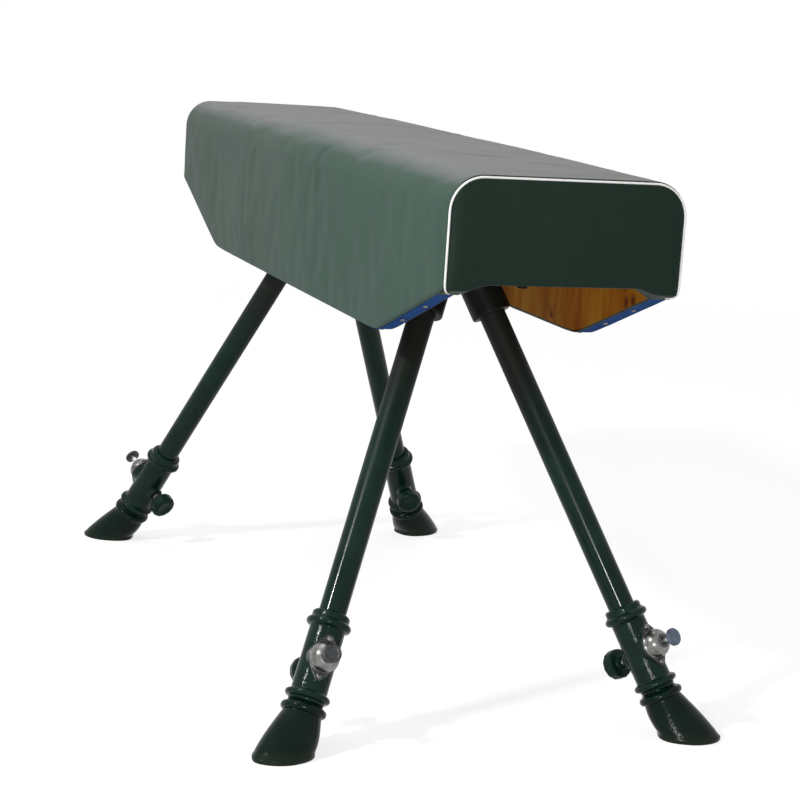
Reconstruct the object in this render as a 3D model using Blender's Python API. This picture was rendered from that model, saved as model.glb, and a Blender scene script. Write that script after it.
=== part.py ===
# Vaulting horse: a padded wooden body on four splayed telescopic legs with hoof feet.
# Metres, +Z up, +X along the body to its front end, +Y to its left.
# The origin is on the floor under the middle of the body, with the legs at their lowest setting.

import math

import bmesh
import bpy
from mathutils import Matrix, Vector

# Body
LENGTH = 1.600
WIDTH = 0.360
HEIGHT = 0.880
END_DEPTH = 0.160
SIDE_DEPTH = 0.266
CORNER_RUN = 0.296
TOP_RADIUS = 0.050
CROWN = 0.004
SIDE_SWELL = 0.0014
END_ARCH = 0.008
END_ARCH_RUN = 0.050

# Layers of the body, from the outside in
LEATHER = 0.0020
STRIP = 0.0010
PIPING_RADIUS = 0.0020
SIDE_PAD = 0.0080
TOP_PAD = 0.0300
BOARD = 0.0180
GAP = 0.0003

# Stance of a leg: where its axis meets the floor, and how it leans
FOOT_X = 0.656
FOOT_Y = 0.318
TILT = math.radians(31.3)
SPLAY = math.radians(43.0)

# Leg tubes: 42.4 mm and 33.7 mm steel tube
OUTER_RADIUS = 0.0212
OUTER_BORE = 0.0180
INNER_RADIUS = 0.01685
INNER_BORE = 0.0136
FIT = 0.0004

# Heights along a leg's axis, from the floor
INNER_FOOT = 0.040
HOOF_RING = 0.0715
CASTING_FOOT = 0.0820
LOWER_RING = 0.0925
CLAMP_HEIGHT = 0.140
PLUNGER_HEIGHT = 0.150
TUBE_SEAT = 0.170
UPPER_RING = 0.2055
CASTING_TOP = 0.2235
SOCKET_FOOT = 0.730
OUTER_TOP = 0.776
INNER_TOP = 0.760

# Height settings: steps of 50 mm in the horse's height
HEIGHT_STEP = 0.050
SETTINGS = 8
HOLE_PITCH = HEIGHT_STEP / math.cos(TILT)
PIN_HOLE = 0.0060

# Lock casting
SLEEVE_RADIUS = 0.0275
NECK_RADIUS = 0.0280
CASTING_BORE = 0.0175
LOWER_RING_RADIUS = 0.0350
LOWER_RING_HALF = 0.0060
UPPER_RING_RADIUS = 0.0348
UPPER_RING_HALF = 0.0070
LIP_FOOT_RADIUS = 0.0290
LIP_RADIUS = 0.0292
LIP_BEVEL = 0.0045
MOUTH_RADIUS = 0.0260
SEAT_ROOT = 0.0060
SEAT_INSET = 0.0010
PLUNGER_TURN = math.radians(28.0)
CASTING_TURN = math.radians(10.0)

# Plunger: distances out from the leg's axis
SEAT = 0.0290
FLANGE = 0.0030
FLANGE_RADIUS = 0.0245
EAR_RADIUS = 0.0070
EAR_REACH = 0.0290
DOME_RADIUS = 0.0230
DOME_SHOULDER = 0.0380
DOME_RIM = 0.0545
DOME_TOP = 0.0560
DOME_MOUTH_RADIUS = 0.0068
SPRING_ROOM = 0.0105
SPRING_ROOF = 0.0520
PIN_RADIUS = 0.0050
PIN_TIP = 0.0173
COLLAR_FOOT = 0.0390
COLLAR_TOP = 0.0420
COLLAR_RADIUS = 0.0095
PIN_HEAD = 0.0740
PIN_HEAD_TOP = 0.0785
PIN_HEAD_RADIUS = 0.0140
PIN_BEVEL = 0.0010
RIVET_HEAD = 0.0042
RIVET_CROWN = 0.0021
RIVET_RIM = 0.0005
RIVET_RISE = 0.0024

# Spring inside the plunger's dome
SPRING_RADIUS = 0.0075
SPRING_WIRE = 0.0006
SPRING_TURNS = 4
SPRING_POINTS = 8

# Clamp screw and knob: distances out from the leg's axis, on the other side
BOSS_RADIUS = 0.0140
BOSS_ROOT_RADIUS = 0.0155
BOSS_ROOT = 0.0220
BOSS_TOP = 0.0350
SCREW_RADIUS = 0.0060
SCREW_TIP = 0.0173
SCREW_END = 0.0620
SCREW_POINT = 0.0015
SCREW_BEVEL = 0.0010
KNOB_FOOT = 0.0450
KNOB_HUB = 0.0110
KNOB_HUB_ROOT = 0.0120
KNOB_UNDERSIDE = 0.0500
KNOB_TOP = 0.0720
KNOB_RADIUS = 0.0240
KNOB_LOWER_BEVEL = 0.0030
KNOB_UPPER_BEVEL = 0.0045
KNOB_FACE_RADIUS = 0.0120
KNOB_FLUTE = 0.0016
KNOB_FLUTES = 12

# Leg brackets under the body
BEARER_FOOT = 0.684
BEARER_THICK = 0.045
BEARER_LENGTH = 0.120
PLATE_THICK = 0.008
PLATE_LENGTH = 0.104
PLATE_WIDTH = 0.240
SOCKET_RADIUS = 0.0325
BOLT_SPREAD_X = 0.038
BOLT_SPREAD_Y = 0.102
BOLT_RADIUS = 0.0050
BOLT_HOLE = 0.0055
NUT_RADIUS = 0.0098
NUT_THICK = 0.0080
BACKING_THICK = 0.0050
BACKING_LENGTH = 0.100
BACKING_WIDTH = 0.234

# Hoof
TOE_TURN = math.radians(70.0)
HOOF_MIDDLE = 0.0145
HOOF_HALF_LENGTH = 0.0495
HOOF_HALF_WIDTH = 0.0385
HEEL_SQUARENESS = 2.6
HOOF_NECK = 0.0300
HOOF_RING_RADIUS = 0.0355
HOOF_RING_HALF = 0.0065
HOOF_RIM = 0.0070
HOOF_BEVEL = 0.0020
HOOF_BULGE = 0.0012
HOOF_STEPS = (0.25, 0.50, 0.78)

# The four legs: which side of the middle each stands on, along X and Y
LEGS = ((1, 1, "front_left"), (1, -1, "front_right"), (-1, 1, "rear_left"), (-1, -1, "rear_right"))

# Sides of round shapes
TUBE_SIDES = 20
CASTING_SIDES = 20
HOOF_SIDES = 20
DOME_SIDES = 16
SMALL_SIDES = 12
HOLE_SIDES = 8
NUT_SIDES = 6
PIPING_SIDES = 6
SHARP_ANGLE = math.radians(40)

# How far a cutter runs past what it cuts
PAST = 0.010

HALF_LENGTH = LENGTH / 2
HALF_WIDTH = WIDTH / 2
FLOOR_OF_BODY = HEIGHT - SIDE_DEPTH
FOLD_X = HALF_LENGTH - CORNER_RUN
CORNER_SLOPE = (SIDE_DEPTH - END_DEPTH) / CORNER_RUN
WALL_FOOT = STRIP + GAP + LEATHER + GAP
PAD_INSET = LEATHER + GAP
BOARD_TOP = HEIGHT - PAD_INSET - TOP_PAD
BOARD_FACE = HALF_WIDTH - PAD_INSET - SIDE_PAD
BOARD_BACK = BOARD_FACE - BOARD
BOARD_END = HALF_LENGTH - PAD_INSET - SIDE_PAD
SPLIT = math.asin((BOARD_TOP + GAP - HEIGHT + TOP_RADIUS) / (TOP_RADIUS - PAD_INSET))
ARC_ANGLES = [0.0, SPLIT / 2, SPLIT] + [SPLIT + (math.pi / 2 - SPLIT) * i / 4 for i in range(1, 5)]
SHOULDER_X = (FOLD_X + HALF_LENGTH) / 2
STATIONS = [-SHOULDER_X, -FOLD_X, -FOLD_X / 3, FOLD_X / 3, FOLD_X, SHOULDER_X]


def clear_scene():
    for item in list(bpy.data.objects):
        bpy.data.objects.remove(item, do_unlink=True)


def make_material(name, color, metallic, roughness):
    material = bpy.data.materials.new(name)
    material.use_nodes = True
    shader = material.node_tree.nodes["Principled BSDF"]
    shader.inputs["Base Color"].default_value = (*color, 1.0)
    shader.inputs["Metallic"].default_value = metallic
    shader.inputs["Roughness"].default_value = roughness
    return material


def finish_mesh(name, bm):
    bmesh.ops.recalc_face_normals(bm, faces=bm.faces)
    mesh = bpy.data.meshes.new(name)
    bm.to_mesh(mesh)
    bm.free()
    mesh.shade_smooth()
    mesh.set_sharp_from_angle(angle=SHARP_ANGLE)
    return mesh


def add_rings(bm, rings, looped=False):
    """Skin a row of closed rings of points. A looped row closes on itself, any other gets end caps."""
    loops = [[bm.verts.new(point) for point in ring] for ring in rings]
    pairs = list(zip(loops, loops[1:]))
    if looped:
        pairs.append((loops[-1], loops[0]))
    else:
        bm.faces.new(loops[0])
        bm.faces.new(loops[-1])
    for first, second in pairs:
        for i in range(len(first)):
            j = (i + 1) % len(first)
            bm.faces.new((first[i], first[j], second[j], second[i]))


def skin(name, rings, looped=False):
    bm = bmesh.new()
    add_rings(bm, rings, looped)
    return finish_mesh(name, bm)


def circle(radius, height, sides, turn=0.0):
    steps = [turn + 2 * math.pi * i / sides for i in range(sides)]
    return [Vector((radius * math.cos(a), radius * math.sin(a), height)) for a in steps]


def turned(name, profile, sides, hollow=False):
    """Turn a profile of (radius, height) points round Z. A hollow one is a closed outline off the axis."""
    return skin(name, [circle(radius, height, sides) for radius, height in profile], looped=hollow)


def bead(middle, radius, root, half, steps=3):
    """Profile points of a rounded ring round a sleeve of radius root, from its lower to its upper side."""
    angles = [math.pi * i / steps for i in range(steps + 1)]
    return [(root + (radius - root) * math.sin(a), middle - half * math.cos(a)) for a in angles]


def prism(name, outline, low, high):
    """A flat outline of (x, y) points between two heights."""
    return skin(name, [[Vector((x, y, height)) for x, y in outline] for height in (low, high)])


def place(name, mesh, material, parent=None):
    item = bpy.data.objects.new(name, mesh)
    bpy.context.collection.objects.link(item)
    item.parent = parent
    if not mesh.materials:
        mesh.materials.append(material)
    return item


def place_empty(name, matrix, parent=None):
    empty = bpy.data.objects.new(name, None)
    bpy.context.collection.objects.link(empty)
    empty.parent = parent
    empty.matrix_local = matrix
    return empty


def combined(name, mesh, additions, cutters):
    """Join the additions to a mesh and cut the cutters from it, and return the result as one mesh."""
    body = bpy.data.objects.new(name, mesh)
    bpy.context.collection.objects.link(body)
    tools = []
    for operation, shapes in (("UNION", additions), ("DIFFERENCE", cutters)):
        for shape in shapes:
            tool = bpy.data.objects.new(name + "_tool", shape)
            bpy.context.collection.objects.link(tool)
            tools.append(tool)
            modifier = body.modifiers.new(operation.lower(), "BOOLEAN")
            modifier.operation = operation
            modifier.solver = "EXACT"
            modifier.object = tool
    bpy.context.view_layer.update()
    depsgraph = bpy.context.evaluated_depsgraph_get()
    result = bpy.data.meshes.new_from_object(body.evaluated_get(depsgraph))
    result.name = name
    for item in [body] + tools:
        bpy.data.objects.remove(item, do_unlink=True)
    result.shade_smooth()
    result.set_sharp_from_angle(angle=SHARP_ANGLE)
    return result


def rod(radius, start, end, sides, along="Z", turn=0.0, offset=(0.0, 0.0, 0.0)):
    """A plain round cutter or boss along one axis."""
    turns = {"Z": Matrix.Identity(4), "X": Matrix.Rotation(math.pi / 2, 4, "Y")}
    placing = Matrix.Translation(offset) @ turns[along]
    rings = [[placing @ point for point in circle(radius, height, sides, turn)] for height in (start, end)]
    return skin("rod", rings)


# Shape of the body

def lower_edge(x):
    """Height of the body's lower edge: level in the middle, rising to both ends."""
    return FLOOR_OF_BODY + max(0.0, abs(x) - FOLD_X) * CORNER_SLOPE


def swell(x):
    """Share of the full crown: none at the ends, all of it in the middle."""
    return 1.0 - (x / HALF_LENGTH) ** 2


def side_half(x, inset):
    """Points up one side at station x, as (y, z), from the boards' foot to the start of the corner arc."""
    low = lower_edge(x) + WALL_FOOT
    high = HEIGHT - TOP_RADIUS
    points = []
    for share in (0.0, 1 / 3, 2 / 3):
        out = SIDE_SWELL * swell(x) * math.sin(math.pi * share)
        points.append((HALF_WIDTH - inset + out, low + (high - low) * share))
    return points


def arc_half(x, inset, angles):
    """Points round the upper corner, which lift with the crown above the split line."""
    edge = HALF_WIDTH - TOP_RADIUS + (TOP_RADIUS - inset) * math.cos(SPLIT)
    points = []
    for angle in angles:
        y = HALF_WIDTH - TOP_RADIUS + (TOP_RADIUS - inset) * math.cos(angle)
        z = HEIGHT - TOP_RADIUS + (TOP_RADIUS - inset) * math.sin(angle)
        if angle > SPLIT:
            z += CROWN * swell(x) * (1 - (y / edge) ** 2)
        points.append((y, z))
    return points


def top_half(x, inset):
    """Points over the top between the corner arc and the middle line."""
    edge = HALF_WIDTH - TOP_RADIUS + (TOP_RADIUS - inset) * math.cos(SPLIT)
    points = []
    for share in (2 / 3, 1 / 3):
        y = (HALF_WIDTH - TOP_RADIUS) * share
        points.append((y, HEIGHT - inset + CROWN * swell(x) * (1 - (y / edge) ** 2)))
    return points


def whole(half, middle=None):
    """A half section, from +Y to the middle, with its mirror image."""
    centre = [middle] if middle else []
    return half + centre + [(-y, z) for y, z in reversed(half)]


def section_points(x, points):
    return [Vector((x, y, z)) for y, z in points]


def cover_section(x):
    """The leather round the body at station x: out under the wall, up, over, down, and back inside."""
    foot = lower_edge(x) + STRIP + GAP
    outer = [(BOARD_BACK, foot), (HALF_WIDTH, foot)] + side_half(x, 0.0)
    outer += arc_half(x, 0.0, ARC_ANGLES) + top_half(x, 0.0)
    inner = [(BOARD_BACK, foot + LEATHER), (HALF_WIDTH - LEATHER, foot + LEATHER)]
    inner += side_half(x, LEATHER)[1:]
    inner += arc_half(x, LEATHER, ARC_ANGLES) + top_half(x, LEATHER)
    outside = whole(outer, (0.0, HEIGHT + CROWN * swell(x)))
    inside = whole(inner, (0.0, HEIGHT - LEATHER + CROWN * swell(x)))
    return section_points(x, outside + list(reversed(inside)))


def top_pad_section(x):
    half = arc_half(x, PAD_INSET, ARC_ANGLES[2:]) + top_half(x, PAD_INSET)
    points = whole(half, (0.0, HEIGHT - PAD_INSET + CROWN * swell(x)))
    return section_points(x, points)


def side_pad_section(x, side):
    outer = side_half(x, PAD_INSET) + arc_half(x, PAD_INSET, ARC_ANGLES[:2])
    edge, top = arc_half(x, PAD_INSET, [SPLIT])[0]
    points = outer + [(edge, top - GAP), (BOARD_FACE, top - GAP), (BOARD_FACE, lower_edge(x) + WALL_FOOT)]
    return section_points(x, [(side * y, z) for y, z in points])


def side_board_section(x, side):
    low = lower_edge(x) + WALL_FOOT
    high = BOARD_TOP - BOARD - GAP
    outer = BOARD_FACE - GAP
    points = [(BOARD_BACK, low), (outer, low), (outer, high), (BOARD_BACK, high)]
    return section_points(x, [(side * y, z) for y, z in points])


def strip_section(x, side):
    low = lower_edge(x)
    high = low + STRIP
    edge = HALF_WIDTH - STRIP
    points = [(BOARD_BACK, low), (edge, low), (edge, high), (BOARD_BACK, high)]
    return section_points(x, [(side * y, z) for y, z in points])


def along_points(y, points):
    """Height at y on a line of (y, z) points whose y falls from point to point."""
    for (y1, z1), (y2, z2) in zip(points, points[1:]):
        if y1 >= y >= y2:
            return z1 + (z2 - z1) * (y1 - y) / (y1 - y2)
    return points[0][1] if y > points[0][0] else points[-1][1]


def arch_half():
    """An end panel's lower edge on +Y: it arches up from its corner and then runs level."""
    foot = HEIGHT - END_DEPTH
    shares = [i / 4 for i in range(5)]
    return [(HALF_WIDTH - END_ARCH_RUN * i, foot + END_ARCH * math.sin(i * math.pi / 2)) for i in shares]


def end_edge(y):
    return along_points(abs(y), arch_half())


def outline_half(inset):
    """The end outline's upper part on +Y, from the start of the corner arc to the middle line."""
    return arc_half(HALF_LENGTH, inset, ARC_ANGLES) + top_half(HALF_LENGTH, inset)


def end_rows(inset, edge, extra=()):
    """Rows across an end inside |y| <= edge, as (y, top), with one at each corner of its outline."""
    outline = outline_half(inset) + [(0.0, HEIGHT - inset)]
    places = [y for y, _ in outline[:-1]] + [y for y, _ in arch_half()] + list(extra)
    inside = sorted({round(y, 6) for y in places if y <= edge + 1e-7}, reverse=True)
    return whole([(y, along_points(y, outline)) for y in inside], (0.0, HEIGHT - inset))


def end_cover_mesh(end):
    """Leather over the end, folded under the end board between the walls."""
    inset = 2 * PIPING_RADIUS
    back = HALF_LENGTH - LEATHER
    wall = BOARD_BACK - 2 * GAP
    rings = []
    for y, top in end_rows(inset, HALF_WIDTH - inset, (wall, wall + GAP)):
        low = end_edge(y)
        fold = BOARD_END - BOARD if abs(y) <= wall else back - LEATHER / 2
        shape = [(HALF_LENGTH, low), (HALF_LENGTH, top), (back, top)]
        shape += [(back, low + LEATHER), (fold, low + LEATHER), (fold, low)]
        rings.append([Vector((end * x, y, z)) for x, z in shape])
    return skin("end_cover", rings)


def end_block(end, near, far, rows):
    """A block across an end between two distances, from rows of (y, low, top)."""
    rings = []
    for y, low, top in rows:
        corners = [(near, low), (far, low), (far, top), (near, top)]
        rings.append([Vector((end * x, y, z)) for x, z in corners])
    return skin("end_block", rings)


def end_pad_mesh(end):
    near = BOARD_END
    far = HALF_LENGTH - LEATHER - GAP
    inset = 2 * PIPING_RADIUS + GAP
    rows = [(y, end_edge(y) + LEATHER + GAP, top) for y, top in end_rows(inset, HALF_WIDTH - inset)]
    return end_block(end, near, far, rows)


def end_board_mesh(end):
    near = BOARD_END - BOARD
    far = BOARD_END - GAP
    top = BOARD_TOP - BOARD - GAP
    edge = BOARD_BACK - GAP
    half = [edge] + [y for y, _ in arch_half() if y < edge]
    places = half + [-y for y in reversed(half)]
    return end_block(end, near, far, [(y, end_edge(y) + LEATHER + GAP, top) for y in places])


def tube_along(path, radius, sides):
    """Rings of a round tube through the points of a path that lies in one plane across X."""
    rings = []
    for i, point in enumerate(path):
        before = path[max(i - 1, 0)]
        after = path[min(i + 1, len(path) - 1)]
        along = (after - before).normalized()
        across = along.cross(Vector((1.0, 0.0, 0.0))).normalized()
        ring = []
        for step in range(sides):
            angle = 2 * math.pi * (step + 0.5) / sides
            aside = across * math.cos(angle) + Vector((math.sin(angle), 0.0, 0.0))
            ring.append(point + aside * radius)
        rings.append(ring)
    return rings


def piping_mesh(end):
    inset = PIPING_RADIUS - GAP
    foot = (HALF_WIDTH - inset, HEIGHT - END_DEPTH + PIPING_RADIUS)
    points = whole([foot] + outline_half(inset), (0.0, HEIGHT - inset))
    path = [Vector((end * (HALF_LENGTH - inset), y, z)) for y, z in points]
    return skin("piping", tube_along(path, PIPING_RADIUS, PIPING_SIDES))


def build_body(wood, foam, leather, end_leather, webbing, white):
    leather_stations = [-HALF_LENGTH + 2 * PIPING_RADIUS] + STATIONS + [HALF_LENGTH - 2 * PIPING_RADIUS]
    pad_stations = [-BOARD_END + GAP] + STATIONS + [BOARD_END - GAP]
    place("leather_cover", skin("leather_cover", [cover_section(x) for x in leather_stations]), leather)
    place("top_pad", skin("top_pad", [top_pad_section(x) for x in pad_stations]), foam)
    folds = [-FOLD_X, FOLD_X]
    for side, hand in ((1, "left"), (-1, "right")):
        pad = skin("side_pad", [side_pad_section(x, side) for x in pad_stations])
        place("side_pad_" + hand, pad, foam)
        ends = [-BOARD_END + GAP] + folds + [BOARD_END - GAP]
        place("side_board_" + hand, skin("side_board", [side_board_section(x, side) for x in ends]), wood)
        ends = [-HALF_LENGTH + 2 * PIPING_RADIUS] + folds + [HALF_LENGTH - 2 * PIPING_RADIUS]
        place("edge_strip_" + hand, skin("edge_strip", [strip_section(x, side) for x in ends]), webbing)

    edge_x = BOARD_END - GAP
    edge_y = BOARD_FACE - GAP
    corners = [(-edge_x, -edge_y), (edge_x, -edge_y), (edge_x, edge_y), (-edge_x, edge_y)]
    place("top_board", prism("top_board", corners, BOARD_TOP - BOARD, BOARD_TOP), wood)
    for end, where in ((1, "front"), (-1, "rear")):
        place("end_board_" + where, end_board_mesh(end), wood)
        place("end_pad_" + where, end_pad_mesh(end), foam)
        place("end_cover_" + where, end_cover_mesh(end), end_leather)
        place("piping_" + where, piping_mesh(end), white)


# Leg brackets

def leg_directions(sx, sy):
    """Unit vectors of a leg: up its axis, level and outward, and out along its plunger.

    The plungers face the horse's ends. The castings are all alike, so each is turned the same way on its leg.
    """
    level = Vector((sx * math.cos(SPLAY), sy * math.sin(SPLAY), 0.0))
    axis = Vector((0.0, 0.0, math.cos(TILT))) - level * math.sin(TILT)
    out = level * math.cos(TILT) + Vector((0.0, 0.0, math.sin(TILT)))
    aside = Vector((sx * math.sin(SPLAY), -sy * math.cos(SPLAY), 0.0))
    turn = PLUNGER_TURN - sx * sy * CASTING_TURN
    plunger = out * math.cos(turn) + aside * math.sin(turn)
    return axis, level, plunger


def leg_matrix(sx, sy):
    """Frame of a leg: origin on the floor, Z up the leg, X out along the plunger."""
    axis, _, plunger = leg_directions(sx, sy)
    turn = Matrix((plunger, axis.cross(plunger), axis)).transposed().to_4x4()
    return Matrix.Translation((sx * FOOT_X, sy * FOOT_Y, 0.0)) @ turn


def socket_mesh(sx, sy):
    """A leg socket: square to the leg below, cut level inside the bracket's plate above."""
    frame = leg_matrix(sx, sy)
    axis = leg_directions(sx, sy)[0]
    level = BEARER_FOOT - PLATE_THICK / 2
    low = [frame @ point for point in circle(SOCKET_RADIUS, SOCKET_FOOT, TUBE_SIDES)]
    high = [point + axis * ((level - point.z) / axis.z) for point in low]
    return skin("socket", [low, high])


def bracket_centre(sx):
    """Where the two leg axes of one end pass the bearer's underside, along X."""
    return sx * (FOOT_X - BEARER_FOOT * math.tan(TILT) * math.cos(SPLAY))


def rectangle(middle_x, length, width):
    x, y = length / 2, width / 2
    return [(middle_x - x, -y), (middle_x + x, -y), (middle_x + x, y), (middle_x - x, y)]


def bolt_places(sx):
    middle = bracket_centre(sx)
    return [(middle + i * BOLT_SPREAD_X, j * BOLT_SPREAD_Y) for i in (-1, 1) for j in (-1, 1)]


def stud_plate_mesh(sx):
    """Backing plate on the bearer, with four studs down through the bracket and the nuts on them."""
    foot = BEARER_FOOT + BEARER_THICK + GAP
    outline = rectangle(bracket_centre(sx), BACKING_LENGTH, BACKING_WIDTH)
    plate = prism("backing", outline, foot, foot + BACKING_THICK)
    nut = BEARER_FOOT - PLATE_THICK - GAP
    profile = [(NUT_RADIUS, nut - NUT_THICK), (NUT_RADIUS, nut)]
    profile += [(BOLT_RADIUS, nut), (BOLT_RADIUS, foot + BACKING_THICK / 2)]
    studs = []
    for x, y in bolt_places(sx):
        stud = turned("stud", profile, NUT_SIDES)
        stud.transform(Matrix.Translation((x, y, 0.0)))
        studs.append(stud)
    return combined("stud_plate", plate, studs, [])


def build_brackets(wood, black, zinc):
    for sx, where in ((1, "front"), (-1, "rear")):
        middle = bracket_centre(sx)
        low = BEARER_FOOT - PLATE_THICK - PAST
        high = BEARER_FOOT + BEARER_THICK + PAST
        holes = [rod(BOLT_HOLE, low, high, HOLE_SIDES, offset=(x, y, 0.0)) for x, y in bolt_places(sx)]
        outline = rectangle(middle, BEARER_LENGTH, 2 * (BOARD_BACK - GAP))
        beam = prism("bearer", outline, BEARER_FOOT + GAP, BEARER_FOOT + BEARER_THICK)
        place("bearer_" + where, combined("bearer_" + where, beam, [], holes), wood)

        outline = rectangle(middle, PLATE_LENGTH, PLATE_WIDTH)
        plate = prism("plate", outline, BEARER_FOOT - PLATE_THICK, BEARER_FOOT)
        sockets = [socket_mesh(sx, sy) for sy in (1, -1)]
        bores = []
        for sy in (1, -1):
            bore = rod(OUTER_RADIUS + FIT, SOCKET_FOOT - PAST, OUTER_TOP + 2 * GAP, TUBE_SIDES)
            bore.transform(leg_matrix(sx, sy))
            bores.append(bore)
        bracket = combined("leg_bracket_" + where, plate, sockets, bores + holes)
        place("leg_bracket_" + where, bracket, black)
        place("stud_plate_" + where, stud_plate_mesh(sx), zinc)


# Legs

def tube_mesh(name, radius, bore, foot, top):
    profile = [(radius, foot), (radius, top), (bore, top), (bore, foot)]
    return turned(name, profile, TUBE_SIDES, hollow=True)


def outer_tube_mesh():
    return tube_mesh("outer_tube", OUTER_RADIUS, OUTER_BORE, TUBE_SEAT + GAP, OUTER_TOP)


def inner_tube_mesh():
    """The sliding tube, with a row of pin holes through the wall on the plunger's side."""
    tube = tube_mesh("inner_tube", INNER_RADIUS, INNER_BORE, INNER_FOOT + GAP, INNER_TOP)
    holes = []
    for i in range(SETTINGS):
        height = PLUNGER_HEIGHT + i * HOLE_PITCH
        holes.append(rod(PIN_HOLE, INNER_BORE / 2, SEAT, HOLE_SIDES, along="X", offset=(0.0, 0.0, height)))
    return combined("inner_tube", tube, [], holes)


def lock_casting_mesh():
    """Cast sleeve between the tubes, with a ring at each end, a plunger seat and a clamp boss."""
    profile = [(NECK_RADIUS, CASTING_FOOT + GAP)]
    profile += bead(LOWER_RING, LOWER_RING_RADIUS, NECK_RADIUS, LOWER_RING_HALF)
    profile += bead(UPPER_RING, UPPER_RING_RADIUS, SLEEVE_RADIUS, UPPER_RING_HALF)
    profile.append((LIP_FOOT_RADIUS, UPPER_RING + UPPER_RING_HALF + 0.001))
    profile += [(LIP_RADIUS, CASTING_TOP - LIP_BEVEL), (MOUTH_RADIUS, CASTING_TOP)]
    sleeve = turned("lock_casting", profile, CASTING_SIDES)

    outline = flange_outline(FLANGE_RADIUS - SEAT_INSET, EAR_RADIUS, EAR_REACH, 2)
    seat = prism("seat", outline, SEAT_ROOT, SEAT)
    seat.transform(plunger_matrix())
    boss = turned("boss", [(BOSS_ROOT_RADIUS, BOSS_ROOT), (BOSS_RADIUS, BOSS_TOP)], DOME_SIDES)
    boss.transform(clamp_matrix())
    flat = math.pi / HOLE_SIDES
    pin_way = rod(PIN_RADIUS + 2 * FIT, INNER_RADIUS - PAST, SEAT + PAST, HOLE_SIDES, turn=flat)
    pin_way.transform(plunger_matrix())
    screw_way = rod(SCREW_RADIUS + 2 * FIT, INNER_RADIUS - PAST, BOSS_TOP + PAST, HOLE_SIDES, turn=flat)
    screw_way.transform(clamp_matrix())
    slide_way = rod(CASTING_BORE, CASTING_FOOT - PAST, TUBE_SEAT + 2 * GAP, CASTING_SIDES)
    tube_way = rod(OUTER_RADIUS + FIT, TUBE_SEAT, CASTING_TOP + PAST, CASTING_SIDES)
    cutters = [slide_way, tube_way, pin_way, screw_way]
    return combined("lock_casting", sleeve, [seat, boss], cutters)


def plunger_matrix():
    """Plunger frame in the leg's frame: Z out of the leg along its X, X down the leg."""
    return Matrix.Translation((0.0, 0.0, PLUNGER_HEIGHT)) @ Matrix.Rotation(math.pi / 2, 4, "Y")


def clamp_matrix():
    """Clamp frame in the leg's frame: Z out of the leg on the side away from the plunger."""
    return Matrix.Translation((0.0, 0.0, CLAMP_HEIGHT)) @ Matrix.Rotation(-math.pi / 2, 4, "Y")


def flange_outline(middle, ear, reach, steps=3):
    """A round plate with an ear on each side along X, as arcs joined by their common tangents."""
    touch = math.acos((middle - ear) / reach)
    points = []
    for centre, radius, start, end in (
        (reach, ear, -touch, touch),
        (0.0, middle, touch, math.pi - touch),
        (-reach, ear, math.pi - touch, math.pi + touch),
        (0.0, middle, math.pi + touch, 2 * math.pi - touch),
    ):
        for i in range(steps + 1):
            angle = start + (end - start) * i / steps
            points.append((centre + radius * math.cos(angle), radius * math.sin(angle)))
    return points


def plunger_housing_mesh():
    """Domed housing on an eared flange, hollow inside for the spring, with a hole in its top for the pin.

    The two rivets that hold it are drawn in one with the ears.
    """
    foot = SEAT + GAP
    flange = prism("flange", flange_outline(FLANGE_RADIUS, EAR_RADIUS, EAR_REACH), foot, foot + FLANGE)
    profile = [(DOME_RADIUS, foot + FLANGE / 2), (DOME_RADIUS, DOME_SHOULDER)]
    for degrees in (22, 44, 66):
        angle = math.radians(degrees)
        rise = (DOME_RIM - DOME_SHOULDER) * math.sin(angle)
        profile.append((DOME_RADIUS * math.cos(angle), DOME_SHOULDER + rise))
    profile.append((DOME_MOUTH_RADIUS, DOME_TOP))
    dome = turned("dome", profile, DOME_SIDES)
    room = rod(SPRING_ROOM, foot - PAST, SPRING_ROOF, SMALL_SIDES)
    way = rod(PIN_RADIUS + FIT, SPRING_ROOF - PAST, DOME_TOP + PAST, SMALL_SIDES)
    face = foot + FLANGE
    rivet = [(RIVET_HEAD, face - FLANGE / 2), (RIVET_HEAD, face + RIVET_RIM)]
    rivet.append((RIVET_CROWN, face + RIVET_RISE))
    rivets = []
    for reach in (EAR_REACH, -EAR_REACH):
        shape = turned("rivet", rivet, HOLE_SIDES)
        shape.transform(Matrix.Translation((reach, 0.0, 0.0)))
        rivets.append(shape)
    return combined("plunger_housing", flange, [dome] + rivets, [room, way])


def plunger_pin_mesh():
    """Plunger pin with a chamfered tip, a collar for the spring to push on, and a disc head to pull."""
    profile = [(PIN_RADIUS - PIN_BEVEL, PIN_TIP), (PIN_RADIUS, PIN_TIP + PIN_BEVEL)]
    profile += [(PIN_RADIUS, COLLAR_FOOT), (COLLAR_RADIUS, COLLAR_FOOT)]
    profile += [(COLLAR_RADIUS, COLLAR_TOP), (PIN_RADIUS, COLLAR_TOP), (PIN_RADIUS, PIN_HEAD)]
    profile += [(PIN_HEAD_RADIUS - PIN_BEVEL, PIN_HEAD), (PIN_HEAD_RADIUS, PIN_HEAD + PIN_BEVEL)]
    profile += [(PIN_HEAD_RADIUS, PIN_HEAD_TOP - PIN_BEVEL), (PIN_HEAD_RADIUS - PIN_BEVEL, PIN_HEAD_TOP)]
    return turned("plunger_pin", profile, SMALL_SIDES)


def spring_points():
    foot = COLLAR_TOP + SPRING_WIRE + GAP
    rise = SPRING_ROOF - SPRING_WIRE - GAP - foot
    count = SPRING_TURNS * SPRING_POINTS
    points = []
    for i in range(count + 1):
        angle = 2 * math.pi * i / SPRING_POINTS
        x = SPRING_RADIUS * math.cos(angle)
        y = SPRING_RADIUS * math.sin(angle)
        points.append(Vector((x, y, foot + rise * i / count)))
    return points


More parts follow.
